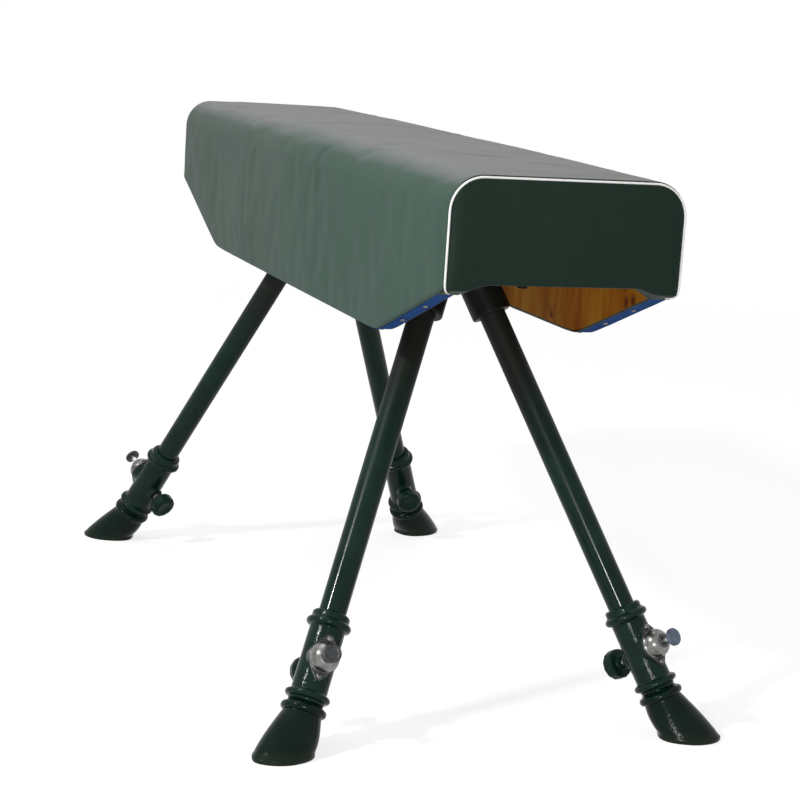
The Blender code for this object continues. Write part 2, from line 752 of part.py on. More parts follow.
def print_spring_gap(points):
    """Least clear gap between two turns of the spring, on points half a turn or more apart."""
    least = math.inf
    for i, first in enumerate(points):
        for second in points[i + SPRING_POINTS // 2:]:
            least = min(least, (first - second).length)
    print("spring: least gap to itself %.2f mm" % (1000 * (least - 2 * SPRING_WIRE)))


def spring_curve():
    points = spring_points()
    print_spring_gap(points)
    curve = bpy.data.curves.new("plunger_spring", "CURVE")
    curve.dimensions = "3D"
    curve.bevel_depth = SPRING_WIRE
    curve.bevel_resolution = 1
    curve.use_fill_caps = True
    spline = curve.splines.new("POLY")
    spline.points.add(len(points) - 1)
    for slot, point in zip(spline.points, points):
        slot.co = (*point, 1.0)
    return curve


def clamp_screw_mesh():
    profile = [(SCREW_RADIUS - SCREW_POINT, SCREW_TIP), (SCREW_RADIUS, SCREW_TIP + SCREW_POINT)]
    profile += [(SCREW_RADIUS, SCREW_END - SCREW_BEVEL), (SCREW_RADIUS - SCREW_BEVEL, SCREW_END)]
    return turned("clamp_screw", profile, SMALL_SIDES)


def clamp_knob_mesh():
    """Fluted hand knob with a round hub and a bore for the screw."""
    sides = 2 * KNOB_FLUTES

    def fluted(radius, height):
        ring = []
        for i in range(sides):
            angle = 2 * math.pi * i / sides
            depth = KNOB_FLUTE * (0.5 - 0.5 * math.cos(KNOB_FLUTES * angle)) * radius / KNOB_RADIUS
            reach = radius - depth
            ring.append(Vector((reach * math.cos(angle), reach * math.sin(angle), height)))
        return ring

    bore = SCREW_RADIUS + FIT
    rings = [circle(bore, SCREW_END + GAP, sides), circle(bore, KNOB_FOOT, sides)]
    rings += [circle(KNOB_HUB, KNOB_FOOT, sides), circle(KNOB_HUB_ROOT, KNOB_UNDERSIDE, sides)]
    rings.append(fluted(KNOB_RADIUS - KNOB_LOWER_BEVEL, KNOB_UNDERSIDE + 0.001))
    rings.append(fluted(KNOB_RADIUS, KNOB_UNDERSIDE + 0.001 + KNOB_LOWER_BEVEL))
    rings.append(fluted(KNOB_RADIUS, KNOB_TOP - 0.001 - KNOB_UPPER_BEVEL))
    rings.append(fluted(KNOB_RADIUS - KNOB_UPPER_BEVEL, KNOB_TOP - 0.001))
    rings.append(circle(KNOB_FACE_RADIUS, KNOB_TOP, sides))
    return skin("clamp_knob", rings)


def hoof_mesh(sx, sy):
    """Cast hoof: a socket for the inner tube, a ring, and a foot that flares to a flat sole."""
    frame = leg_matrix(sx, sy)
    axis = leg_directions(sx, sy)[0]
    foot = Vector((sx * FOOT_X, sy * FOOT_Y, 0.0))
    toe = Vector((sx * math.cos(TOE_TURN), sy * math.sin(TOE_TURN), 0.0))
    beside = Vector((0.0, 0.0, 1.0)).cross(toe)
    ahead = (toe - axis * toe.dot(axis)).normalized()
    across = axis.cross(ahead)

    def collar(radius, height):
        ring = []
        for i in range(HOOF_SIDES):
            angle = 2 * math.pi * i / HOOF_SIDES
            away = ahead * math.cos(angle) + across * math.sin(angle)
            ring.append(foot + axis * height + away * radius)
        return ring

    def sole(height, inset):
        ring = []
        for i in range(HOOF_SIDES):
            angle = 2 * math.pi * i / HOOF_SIDES
            along, aside = math.cos(angle), math.sin(angle)
            if along < 0:
                power = 2 / HEEL_SQUARENESS
                along = -abs(along) ** power
                aside = math.copysign(abs(aside) ** power, aside)
            reach = HOOF_MIDDLE + (HOOF_HALF_LENGTH - inset) * along
            point = foot + toe * reach + beside * (HOOF_HALF_WIDTH - inset) * aside
            point.z = height
            ring.append(point)
        return ring

    top = CASTING_FOOT - GAP
    ring_profile = bead(HOOF_RING, HOOF_RING_RADIUS, HOOF_NECK, HOOF_RING_HALF)
    rings = [collar(CASTING_BORE, INNER_FOOT), collar(CASTING_BORE, top), collar(SLEEVE_RADIUS, top)]
    rings += [collar(radius, height) for radius, height in reversed(ring_profile)]
    neck = rings[-1]
    rim = sole(HOOF_RIM, 0.0)
    for share in HOOF_STEPS:
        ring = []
        for high, low in zip(neck, rim):
            point = high.lerp(low, share)
            middle = foot + (axis * neck[0].z / axis.z).lerp(toe * HOOF_MIDDLE, share)
            away = Vector((point.x - middle.x, point.y - middle.y, 0.0)).normalized()
            ring.append(point + away * HOOF_BULGE * math.sin(math.pi * share))
        rings.append(ring)
    rings += [rim, sole(HOOF_BEVEL, 0.0), sole(0.0, HOOF_BEVEL)]
    return skin("hoof", rings)


def build_legs(green, steel, bright, blue, dark_knob):
    tube = outer_tube_mesh()
    casting = lock_casting_mesh()
    inner = inner_tube_mesh()
    housing = plunger_housing_mesh()
    pin = plunger_pin_mesh()
    spring = spring_curve()
    screw = clamp_screw_mesh()
    knob = clamp_knob_mesh()
    for sx, sy, where in LEGS:
        leg = place_empty("leg_axis_" + where, leg_matrix(sx, sy))
        plunger = place_empty("plunger_axis_" + where, plunger_matrix(), leg)
        clamp = place_empty("clamp_axis_" + where, clamp_matrix(), leg)
        place("outer_tube_" + where, tube, green, leg)
        place("lock_casting_" + where, casting, green, leg)
        place("inner_tube_" + where, inner, steel, leg)
        place("hoof_" + where, hoof_mesh(sx, sy), green)
        place("plunger_housing_" + where, housing, bright, plunger)
        place("plunger_pin_" + where, pin, blue, plunger)
        place("plunger_spring_" + where, spring, steel, plunger)
        place("clamp_screw_" + where, screw, steel, clamp)
        place("clamp_knob_" + where, knob, dark_knob, clamp)


def main():
    clear_scene()
    wood = make_material("pine", (0.52, 0.27, 0.09), 0.0, 0.55)
    foam = make_material("felt_padding", (0.45, 0.42, 0.36), 0.0, 0.9)
    leather = make_material("green_leatherette", (0.085, 0.125, 0.110), 0.0, 0.5)
    end_leather = make_material("dark_green_leatherette", (0.018, 0.032, 0.027), 0.0, 0.45)
    webbing = make_material("blue_webbing", (0.02, 0.05, 0.22), 0.0, 0.8)
    white = make_material("white_piping", (0.85, 0.85, 0.82), 0.0, 0.5)
    black = make_material("black_paint", (0.012, 0.012, 0.013), 0.0, 0.4)
    green = make_material("dark_green_paint", (0.008, 0.028, 0.020), 0.0, 0.2)
    steel = make_material("steel", (0.40, 0.40, 0.40), 1.0, 0.35)
    bright = make_material("bright_zinc", (0.62, 0.62, 0.63), 1.0, 0.25)
    blue = make_material("blue_zinc", (0.30, 0.36, 0.46), 0.8, 0.3)
    dark_knob = make_material("knob_paint", (0.008, 0.022, 0.016), 0.0, 0.35)
    build_body(wood, foam, leather, end_leather, webbing, white)
    build_brackets(wood, black, bright)
    build_legs(green, steel, bright, blue, dark_knob)


main()
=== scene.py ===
# Vaulting horse: the looks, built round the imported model.
# Metres, +Z up, +X towards the horse's front end, +Y to its left.
import math

import bmesh
import bpy
import numpy as np
from mathutils import Matrix, Vector, noise


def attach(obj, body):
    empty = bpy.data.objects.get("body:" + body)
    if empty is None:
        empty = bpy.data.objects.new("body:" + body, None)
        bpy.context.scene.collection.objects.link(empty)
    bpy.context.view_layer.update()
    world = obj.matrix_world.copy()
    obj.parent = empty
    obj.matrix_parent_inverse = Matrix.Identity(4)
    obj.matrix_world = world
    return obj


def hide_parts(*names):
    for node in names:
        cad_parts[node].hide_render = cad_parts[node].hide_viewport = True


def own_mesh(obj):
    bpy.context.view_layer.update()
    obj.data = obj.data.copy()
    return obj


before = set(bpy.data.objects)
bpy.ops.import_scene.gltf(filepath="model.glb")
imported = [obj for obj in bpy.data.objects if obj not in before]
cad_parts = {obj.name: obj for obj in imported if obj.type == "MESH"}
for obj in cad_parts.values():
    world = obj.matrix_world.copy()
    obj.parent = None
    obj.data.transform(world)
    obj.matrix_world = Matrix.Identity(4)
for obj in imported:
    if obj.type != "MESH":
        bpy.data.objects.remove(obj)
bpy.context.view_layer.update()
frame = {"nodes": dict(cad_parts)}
nodes = frame["nodes"]
print("frame loaded,", len(nodes), "nodes")


# Camera, at the photograph's angle

cameraSetup = {
    "place": (3.6422, -1.2189, 1.1079),
    "yaw": 70.868,
    "pitch": -10.243,
    "roll": 3.847,
    "lens": 99.36,
}


def newObject(name, data):
    item = bpy.data.objects.new(name, data)
    bpy.context.scene.collection.objects.link(item)
    return item


def setCamera(setup):
    camera = newObject("camera", bpy.data.cameras.new("camera"))
    turn = Matrix.Rotation(math.radians(setup["yaw"]), 4, "Z")
    turn @= Matrix.Rotation(math.radians(90 + setup["pitch"]), 4, "X")
    turn @= Matrix.Rotation(math.radians(setup["roll"]), 4, "Z")
    camera.matrix_world = Matrix.Translation(setup["place"]) @ turn
    camera.data.lens = setup["lens"]
    camera.data.sensor_width = 36
    bpy.context.scene.camera = camera


setCamera(cameraSetup)


# Shader maths: a wire is one socket of a material, and plain sums on wires add Math nodes

class Wire:
    def __init__(self, nodes, socket):
        self.nodes = nodes
        self.socket = socket

    def maths(self, operation, first, second=None):
        values = {0: first} if second is None else {0: first, 1: second}
        return self.nodes.node("ShaderNodeMath", {"operation": operation}, values)

    def __add__(self, other):
        return self.maths("ADD", self, other)

    def __radd__(self, other):
        return self.maths("ADD", other, self)

    def __sub__(self, other):
        return self.maths("SUBTRACT", self, other)

    def __rsub__(self, other):
        return self.maths("SUBTRACT", other, self)

    def __mul__(self, other):
        return self.maths("MULTIPLY", self, other)

    def __rmul__(self, other):
        return self.maths("MULTIPLY", other, self)

    def sine(self):
        return self.maths("SINE", self)


class Nodes:
    # a node tree, with the one method that adds any node to it
    def __init__(self, tree):
        self.tree = tree

    def node(self, kind, settings=None, inputs=None, output=0):
        made = self.tree.nodes.new(kind)
        for name, value in (settings or {}).items():
            if name == "stops":
                self.setStops(made.color_ramp, value)
            else:
                setattr(made, name, value)
        for name, value in (inputs or {}).items():
            self.plug(made.inputs[name], value)
        return Wire(self, made.outputs[output])

    def setStops(self, ramp, stops):
        while len(ramp.elements) < len(stops):
            ramp.elements.new(0.5)
        for element, (place, color) in zip(ramp.elements, stops):
            element.position = place
            element.color = color

    def plug(self, socket, value):
        if isinstance(value, Wire):
            self.tree.links.new(value.socket, socket)
        else:
            socket.default_value = value

    def seenDirectly(self):
        # 1 for the camera, in reflections and through glass, and 0 for light that falls on things
        seen = self.node("ShaderNodeLightPath", output="Is Camera Ray")
        for name in ("Is Glossy Ray", "Is Transmission Ray"):
            seen = seen.maths("MAXIMUM", seen, self.node("ShaderNodeLightPath", output=name))
        return seen


class Paint(Nodes):
    # a material with one Principled shader
    def __init__(self, name, looks):
        self.material = bpy.data.materials.new(name)
        self.material.use_nodes = True
        super().__init__(self.material.node_tree)
        self.shader = self.tree.nodes["Principled BSDF"]
        for socket, value in looks.items():
            self.set(socket, value)

    def set(self, name, value):
        self.plug(self.shader.inputs[name], value)

    def point(self, stretch=(1, 1, 1)):
        # object coordinates, stretched: they move with the piece
        place = self.node("ShaderNodeTexCoord", output="Object")
        return self.node("ShaderNodeVectorMath", {"operation": "MULTIPLY"}, {0: place, 1: stretch})

    def axis(self, name, vector=None):
        # X, Y or Z of a vector, or else of the place on the piece
        return self.node("ShaderNodeSeparateXYZ", {}, {0: vector or self.point()}, output=name)

    def noise(self, scale, detail=4, rough=0.55, stretch=(1, 1, 1), warp=0.0):
        inputs = {"Vector": self.point(stretch), "Scale": scale, "Detail": detail}
        inputs["Roughness"] = rough
        inputs["Distortion"] = warp
        return self.node("ShaderNodeTexNoise", {}, inputs)

    def ramp(self, value, stops):
        return self.node("ShaderNodeValToRGB", {"stops": stops}, {"Fac": value})

    def grey(self, value, low, high, out=(0, 1)):
        # a value from low to high, spread over out and held there
        settings = {"clamp": True}
        inputs = {"Value": value, "From Min": low, "From Max": high}
        inputs["To Min"] = out[0]
        inputs["To Max"] = out[1]
        return self.node("ShaderNodeMapRange", settings, inputs)

    def mix(self, share, first, second, blend="MIX"):
        settings = {"data_type": "RGBA", "blend_type": blend}
        return self.node("ShaderNodeMix", settings, {0: share, 6: first, 7: second}, output=2)

    def bump(self, height, distance, strength=1.0, under=None):
        inputs = {"Height": height, "Distance": distance, "Strength": strength}
        if under is not None:
            inputs["Normal"] = under
        return self.node("ShaderNodeBump", {}, inputs)


def rgb(red, green, blue):
    return (red, green, blue, 1.0)


# Finishes

leatherLook = {
    "side": rgb(0.0315, 0.0725, 0.0532),
    "faded": rgb(0.0482, 0.0855, 0.0690),
    # grey for upward faces: partly dust, partly painted sheen
    "top": rgb(0.205, 0.208, 0.203),
    "rear": rgb(0.135, 0.128, 0.122),
    "runs": rgb(0.022, 0.044, 0.033),
    # painted shade for the roll of the cover above the piping
    "roll": rgb(0.0040, 0.0085, 0.0062),
    # the end panels' tones: darker than the cover's, partly their own tone and partly painted shade
    "end": rgb(0.0078, 0.0196, 0.0132),
    "endFadedShaded": rgb(0.0120, 0.0240, 0.0180),
    "scuff": rgb(0.20, 0.22, 0.21),
    "grainScale": 820.0,
    "grainDepth": 0.00016,
    # where the darker band beside the piping and the painted shade on the roll at the ends set in; the
    # first two are squares of X
    "seamBandFrom": (0.605, 0.632),
    "rollShadeFrom": (0.6325, 0.6345),
    "rollShadeHeight": (0.855, 0.872),
}


def leatherette(name, color, faded, wear, withDustAndSheen=False):
    paint = Paint(name, {"Specular IOR Level": 0.09})
    cloud = paint.grey(paint.noise(3.1, 5, 0.6), 0.32, 0.70)
    streak = paint.grey(paint.noise(1.0, 3, 0.5, (16, 3, 1.6)), 0.35, 0.68)
    worn = paint.grey(paint.noise(42.0, 3), 0.58, 0.80)
    skin = paint.mix(cloud * 0.55 + streak * 0.45, color, faded)
    skin = paint.mix(worn * wear, skin, leatherLook["scuff"])
    if withDustAndSheen:
        skin = dustAndSheenOver(paint, skin, cloud)
    paint.set("Base Color", skin)
    cells = paint.node(
        "ShaderNodeTexVoronoi",
        {"feature": "SMOOTH_F1"},
        {"Vector": paint.point(), "Scale": leatherLook["grainScale"], "Smoothness": 0.6},
    )
    grain = (1 - cells) * 0.75 + paint.noise(2600.0, 2) * 0.25
    paint.set("Roughness", 0.48 + cloud * 0.08 + worn * 0.10 + cells * 0.05)
    soft = paint.bump(paint.noise(7.0, 3, 0.5, (1, 1, 0.5)), 0.0020, 0.5)
    paint.set("Normal", paint.bump(grain, leatherLook["grainDepth"], 0.8, soft))
    return paint


def dustAndSheenOver(paint, skin, cloud):
    # greyer towards the rear, with fine dark runs down the sides, and grey on top that is partly dust and
    # partly painted sheen
    look = leatherLook
    along = paint.axis("X")
    rear = paint.grey(along + cloud * 0.25, 0.35, -0.85)
    skin = paint.mix(rear * 0.36, skin, look["rear"])
    patches = paint.grey(paint.noise(4.2, 3, 0.5), 0.44, 0.62)
    runs = paint.grey(paint.noise(1.0, 5, 0.62, (44, 16, 9), 0.6), 0.52, 0.74)
    skin = paint.mix(runs * (patches * 0.46 + 0.10), skin, look["runs"])
    up = paint.axis("Z", paint.node("ShaderNodeNewGeometry", output="Normal"))
    lines = paint.grey(paint.noise(1.0, 4, 0.6, (2.2, 34, 10)), 0.50, 0.78)
    # upward faces turned grey: partly dust, partly painted sheen
    dustAndSheen = paint.grey(up + rear * 0.04 + cloud * 0.08, 0.64, 1.04)
    dustAndSheen = dustAndSheen * (0.68 + cloud * 0.26 - lines * 0.10)
    dustAndSheen = dustAndSheen + paint.grey(up + cloud * 0.1, 0.0, 0.7) * 0.05
    skin = paint.mix(dustAndSheen, skin, look["top"])
    # darker in a band beside the piping at both ends, and painted shade on the roll of the cover above the
    # piping
    past = along * along
    skin = paint.mix(paint.grey(past, *look["seamBandFrom"]) * 0.22, skin, look["runs"])
    # painted shade: the roll above the piping made near black
    roll = paint.grey(past, *look["rollShadeFrom"]) * paint.grey(paint.axis("Z"), *look["rollShadeHeight"])
    return paint.mix(roll, skin, look["roll"])


paintLook = {
    "green": rgb(0.0030, 0.0150, 0.0095),
    "greenLight": rgb(0.0055, 0.0215, 0.0145),
    "hoof": rgb(0.0010, 0.0080, 0.0045),
    "hoofLight": rgb(0.0022, 0.0120, 0.0075),
    "black": rgb(0.0060, 0.0065, 0.0055),
    "blackLight": rgb(0.0120, 0.0125, 0.0110),
    "primer": rgb(0.110, 0.105, 0.095),
    "mud": rgb(0.034, 0.034, 0.018),
    "grime": rgb(0.0105, 0.0115, 0.0095),
}


def gloss(name, tone, roughness, lumps, shine, chips=0.70, dullFrom=None, mudTo=None):
    # thick brushed enamel over steel or rough iron, gone dull above dullFrom and scuffed below mudTo;
    # lumps: their depth and scale
    paint = Paint(name, {"Specular IOR Level": shine})
    cloud = paint.grey(paint.noise(26.0, 4), 0.36, 0.66)
    chip = paint.grey(paint.noise(150.0, 5, 0.72), chips, chips + 0.03)
    skin = paint.mix(cloud, paintLook[tone], paintLook[tone + "Light"])
    skin = paint.mix(chip, skin, paintLook["primer"])
    rough = roughness + cloud * 0.05 + chip * 0.4
    height = paint.axis("Z")
    if mudTo is not None:
        mud = paint.grey(height + cloud * 0.014, mudTo, mudTo * 0.25) * (0.15 + cloud * 0.40)
        skin = paint.mix(mud, skin, paintLook["mud"])
        rough = rough + mud * 0.2
    if dullFrom is not None:
        rough = rough + paint.grey(height + cloud * 0.05, dullFrom, dullFrom + 0.14) * 0.27
        grime = paint.grey(height + cloud * 0.06, dullFrom + 0.20, dullFrom + 0.32)
        skin = paint.mix(grime * 0.9, skin, paintLook["grime"])
        rough = rough + grime * 0.15
    paint.set("Base Color", skin)
    paint.set("Roughness", rough)
    depth, scale = lumps
    uneven = paint.bump(paint.noise(scale, 3, 0.5), depth)
    paint.set("Normal", paint.bump(paint.noise(520.0, 2), 0.00003, 0.7, uneven))
    return paint


wornLook = {
    "metalSpots": rgb(0.13, 0.13, 0.125),
    "vinylScuff": rgb(0.45, 0.44, 0.40),
    "clothSoil": rgb(0.012, 0.020, 0.052),
    # pale, for the painted highlight along the webbing's inner edge
    "clothEdgeHighlight": rgb(0.15, 0.125, 0.095),
}


def metal(name, color, dull, roughness, scratchStretch=(1, 1, 1), scratchScale=300.0):
    paint = Paint(name, {"Metallic": 1.0})
    cloud = paint.grey(paint.noise(75.0, 5, 0.6), 0.34, 0.68)
    spots = paint.grey(paint.noise(420.0, 4, 0.65), 0.60, 0.74)
    paint.set("Base Color", paint.mix(spots * 0.5, paint.mix(cloud, color, dull), wornLook["metalSpots"]))
    paint.set("Roughness", roughness + cloud * 0.12 + spots * 0.2)
    scratch = paint.noise(scratchScale, 3, 0.6, scratchStretch)
    paint.set("Normal", paint.bump(scratch, 0.00003, 0.6))
    return paint


def vinyl(name, color, dull):
    # smooth white plastic, a little yellowed and scuffed
    paint = Paint(name, {"Specular IOR Level": 0.3})
    cloud = paint.grey(paint.noise(60.0, 4), 0.40, 0.70)
    scuff = paint.grey(paint.noise(330.0, 4, 0.65), 0.62, 0.74)
    paint.set("Base Color", paint.mix(scuff * 0.4, paint.mix(cloud, color, dull), wornLook["vinylScuff"]))
    paint.set("Roughness", 0.36 + cloud * 0.10 + scuff * 0.2)
    return paint


woodLook = {
    "pale": rgb(0.435, 0.213, 0.0226),
    "warm": rgb(0.348, 0.126, 0.0087),
    "dark": rgb(0.244, 0.0626, 0.0035),
    "knot": rgb(0.130, 0.030, 0.005),
    "knotsPerMetre": 13.0,
}


def pine(name, along, lay=(0, 0, 0)):
    # along: the grain's stretch on X, Y and Z, small where the grain runs; lay turns the board's face level
    paint = Paint(name, {"Specular IOR Level": 0.03})
    bands = paint.noise(1.0, 3, 0.5, along, 1.2)
    fibres = paint.noise(6.0, 5, 0.65, along)
    place = paint.node("ShaderNodeMapping", {}, {"Vector": paint.point(), "Rotation": lay})
    knots = paint.node(
        "ShaderNodeTexVoronoi",
        {"voronoi_dimensions": "2D"},
        {"Vector": place, "Scale": woodLook["knotsPerMetre"], "Randomness": 1.0},
    )
    knots = knots + paint.grey(paint.noise(6.0, 1), 0.50, 0.58) * 0.4
    knot = paint.grey(knots + fibres * 0.14, 0.22, 0.11)
    halo = paint.grey(knots + fibres * 0.34, 0.56, 0.20)
    tone = paint.ramp(
        bands * 0.45 + fibres * 0.55,
        [(0.36, woodLook["pale"]), (0.52, woodLook["warm"]), (0.68, woodLook["dark"])],
    )
    tone = paint.mix(halo * 0.60, tone, woodLook["dark"])
    tone = paint.mix(knot, tone, woodLook["knot"])
    paint.set("Base Color", tone)
    paint.set("Roughness", 0.42 + fibres * 0.25)
    paint.set("Normal", paint.bump(fibres, 0.0004, 0.5))
    return paint


def webbing(name, color, light, pitch, inner):
    # plain weave of thick threads, with a painted highlight along its inner edge, where the board's lower
    # edge meets it
    paint = Paint(name, {"Specular IOR Level": 0.10, "Roughness": 0.85})
    turn = 2 * math.pi / pitch
    along, across = paint.axis("X"), paint.axis("Y")
    threads = (along * turn).sine() * (across * turn).sine() * 0.5 + 0.5
    fade = paint.grey(paint.noise(18.0, 4), 0.38, 0.72)
    soil = paint.grey(paint.noise(31.0, 5, 0.6, (1, 1, 0.6)), 0.52, 0.70)
    cloth = paint.mix(fade * 0.6 + threads * 0.3, color, light)
    cloth = paint.mix(soil * 0.6, cloth, wornLook["clothSoil"])
    # painted highlight: a pale line along the inner edge, next to the board's lower edge
    edge = paint.grey(across.maths("ABSOLUTE", across), inner + 0.0016, inner + 0.0004)
    paint.set("Base Color", paint.mix(edge * 0.6, cloth, wornLook["clothEdgeHighlight"]))
    paint.set("Normal", paint.bump(threads, 0.0003))
    return paint


coverPaint = leatherette("coverLeatherette", leatherLook["side"], leatherLook["faded"], 0.07, withDustAndSheen=True)
# the end panels: the cover's leatherette made darker, partly its own tone and partly painted shade
endPaintShaded = leatherette("endLeatheretteShaded", leatherLook["end"], leatherLook["endFadedShaded"], 0.02)
tubePaint = gloss("tubeEnamel", "green", 0.10, (0.00006, 45.0), 0.115, dullFrom=0.34)
castPaint = gloss("castEnamel", "green", 0.07, (0.00032, 330.0), 0.11)
hoofPaint = gloss("hoofEnamel", "hoof", 0.14, (0.00034, 210.0), 0.11, mudTo=0.026)
knobPaint = gloss("knobEnamel", "green", 0.34, (0.00024, 260.0), 0.085, chips=0.68)
bracketPaint = gloss("bracketEnamel", "black", 0.42, (0.00010, 120.0), 0.08)
zincMetal = metal("brightZinc", rgb(0.27, 0.27, 0.262), rgb(0.095, 0.095, 0.090), 0.22)
darkZincMetal = metal("flangeZinc", rgb(0.070, 0.073, 0.070), rgb(0.042, 0.044, 0.042), 0.32)
greyZincMetal = metal("discZinc", rgb(0.070, 0.074, 0.077), rgb(0.046, 0.048, 0.050), 0.30)
screwMetal = metal("oiledSteel", rgb(0.20, 0.21, 0.19), rgb(0.10, 0.105, 0.095), 0.30)
blueZincMetal = metal("blueZinc", rgb(0.125, 0.155, 0.205), rgb(0.085, 0.102, 0.132), 0.30)
pinMetal = metal("pinSteel", rgb(0.60, 0.61, 0.62), rgb(0.42, 0.43, 0.44), 0.18)
boltMetal = metal("boltZinc", rgb(0.58, 0.57, 0.53), rgb(0.36, 0.35, 0.32), 0.30)
innerMetal = metal("drawnTube", rgb(0.46, 0.46, 0.46), rgb(0.27, 0.26, 0.25), 0.24, (1, 1, 0.02), 420.0)
springMetal = metal("springWire", rgb(0.40, 0.40, 0.41), rgb(0.22, 0.22, 0.22), 0.32)
tackMetal = metal("tackSteel", rgb(0.30, 0.235, 0.19), rgb(0.15, 0.12, 0.095), 0.42)
sideWood = pine("wallPine", (9.0, 3.0, 1.5), (math.pi / 2, 0, 0))
topWood = pine("topPine", (1.2, 10.0, 6.0))
beamWood = pine("beamPine", (9.0, 1.2, 9.0), (math.pi / 2, math.pi / 2, 0))
endWood = pine("endPine", (3.0, 1.5, 9.0), (math.pi / 2, math.pi / 2, 0))
pipingPaint = vinyl("pipingVinyl", rgb(0.86, 0.86, 0.84), rgb(0.76, 0.76, 0.73))
stripCloth = webbing("blueWebbing", rgb(0.011, 0.058, 0.230), rgb(0.026, 0.105, 0.330), 0.0016, 0.1519)
print("finishes made,", len(bpy.data.materials), "materials")


# Mesh tools

def gridFaces(rows, columns, closed):
    # quads between rows of points; a closed row joins its last point to its first
    faces = []
    for i in range(rows - 1):
        for j in range(columns if closed else columns - 1):
            k = (j + 1) % columns
            faces.append((i * columns + j, i * columns + k, (i + 1) * columns + k, (i + 1) * columns + j))
    return faces


def meshFrom(name, points, faces):
    mesh = bpy.data.meshes.new(name)
    mesh.from_pydata([tuple(point) for point in points], [], faces)
    return mesh


def loft(name, rings, looped=False):
    # a skin through closed rings of points; looped joins the last ring to the first, else both are filled
    count = len(rings[0])
    last = (len(rings) - 1) * count
    faces = gridFaces(len(rings), count, True)
    if looped:
        faces += [(last + j, last + (j + 1) % count, (j + 1) % count, j) for j in range(count)]
    else:
        faces.append(tuple(range(count - 1, -1, -1)))
        faces.append(tuple(range(last, last + count)))
    mesh = meshFrom(name, [point for ring in rings for point in ring], faces)
    faceOutward(mesh)
    return mesh


def faceOutward(mesh):
    bm = bmesh.new()
    bm.from_mesh(mesh)
    bmesh.ops.recalc_face_normals(bm, faces=bm.faces)
    bm.to_mesh(mesh)
    bm.free()
    shade(mesh)


sharpFrom = 38  # degrees between faces


def shade(mesh):
    mesh.shade_smooth()
    mesh.set_sharp_from_angle(angle=math.radians(sharpFrom))


def rounded(corners, steps=4, closed=False):
    # (radius, height, fillet) corners, each fillet turned into a short curve
    line = []
    count = len(corners)
    for i, (radius, height, fillet) in enumerate(corners):
        here = Vector((radius, height))
        if fillet == 0 or (not closed and i in (0, count - 1)):
            line.append(here)
            continue
        before = Vector(corners[i - 1][:2]) - here
        after = Vector(corners[(i + 1) % count][:2]) - here
        cut = min(fillet, before.length * 0.49, after.length * 0.49)
        first = here + before.normalized() * cut
        last = here + after.normalized() * cut
        for step in range(steps + 1):
            t = step / steps
            line.append(first * (1 - t) ** 2 + here * 2 * t * (1 - t) + last * t * t)
    return line


def ringAt(radius, height, sides):
    angles = [2 * math.pi * i / sides for i in range(sides)]
    return [(radius * math.cos(a), radius * math.sin(a), height) for a in angles]


def arc(centre, radius, start, end, steps):
    # points of an arc, from start to end in degrees
    angles = [math.radians(start + (end - start) * i / steps) for i in range(steps + 1)]
    return [(centre[0] + radius * math.cos(a), centre[1] + radius * math.sin(a)) for a in angles]


def turned(name, line, sides=48, looped=False):
    return loft(name, [ringAt(r, z, sides) for r, z in line], looped=looped)


def prism(name, outline, low, high):
    return loft(name, [[(x, y, z) for x, y in outline] for z in (low, high)])


def moved(mesh, matrix):
    mesh.transform(matrix)
    return mesh


def rod(name, radius, low, high, sides, place=Matrix.Identity(4)):
    return moved(turned(name, [(radius, low), (radius, high)], sides), place)


def joined(name, meshes):
    # several closed shapes as one mesh
    bm = bmesh.new()
    for mesh in meshes:
        bm.from_mesh(mesh)
    whole = bpy.data.meshes.new(name)
    bm.to_mesh(whole)
    bm.free()
    shade(whole)
    return whole


def worked(name, mesh, steps):
    # runs modifiers on a mesh and returns the result; a Boolean's object is given as a mesh
    item = newObject(name, mesh)
    helpers = []
    for kind, settings in steps:
        modifier = item.modifiers.new(kind.lower(), kind)
        for key, value in settings.items():
            if key == "object":
                value = newObject("helper", value)
                helpers.append(value)
            setattr(modifier, key, value)
    bpy.context.view_layer.update()
    ready = item.evaluated_get(bpy.context.evaluated_depsgraph_get())
    result = bpy.data.meshes.new_from_object(ready)
    result.name = name
    for thing in [item] + helpers:
        bpy.data.objects.remove(thing, do_unlink=True)
    shade(result)
    return result


def cast(name, body, additions, voxel, passes, lumps=0.0, lumpSize=0.005):
    # shapes run together as in a mould: united, remeshed, rounded, and a little uneven
    steps = [("BOOLEAN", {"operation": "UNION", "object": mesh}) for mesh in additions]
    steps.append(("REMESH", {"mode": "VOXEL", "voxel_size": voxel}))
    steps.append(("SMOOTH", {"factor": 0.6, "iterations": passes}))
    mesh = worked(name, body, steps)
    if lumps:
        roughen(mesh, lumps, lumpSize)
    return mesh


def roughen(mesh, depth, size):
    count = len(mesh.vertices)
    places = np.zeros(count * 3, np.float32)
    mesh.vertices.foreach_get("co", places)
    places = places.reshape(-1, 3)
    normals = np.array([v.normal for v in mesh.vertices], np.float32)
    waves = np.array([noise.noise(Vector(p / size)) for p in places], np.float32)
    mesh.vertices.foreach_set("co", (places + normals * (waves * depth)[:, None]).ravel())
    mesh.update()


def cut(name, mesh, cutters):
    return worked(name, mesh, [("BOOLEAN", {"operation": "DIFFERENCE", "object": c}) for c in cutters])


def softEdge(width):
    return ("BEVEL", {"width": width, "segments": 2, "limit_method": "ANGLE"})


def addPiece(name, mesh, paint, body, stands=(), matrix=None):
    piece = newObject(name, mesh)
    if matrix is not None:
        piece.matrix_world = matrix
    if not mesh.materials:
        mesh.materials.append(paint.material)
    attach(piece, body)
    if stands:
        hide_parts(*stands)
    return piece


# Legs

stance = {
    "footX": 0.656, "footY": 0.318, "tilt": 31.3, "splay": 43.0,
    "plungerTurn": 28.0, "castingTurn": 10.0, "toeTurn": 70.0,
    "plungerHeight": 0.150, "clampHeight": 0.140,
}
legSides = {"front_left": (1, 1), "front_right": (1, -1), "rear_left": (-1, 1), "rear_right": (-1, -1)}
upright = Vector((0, 0, 1))


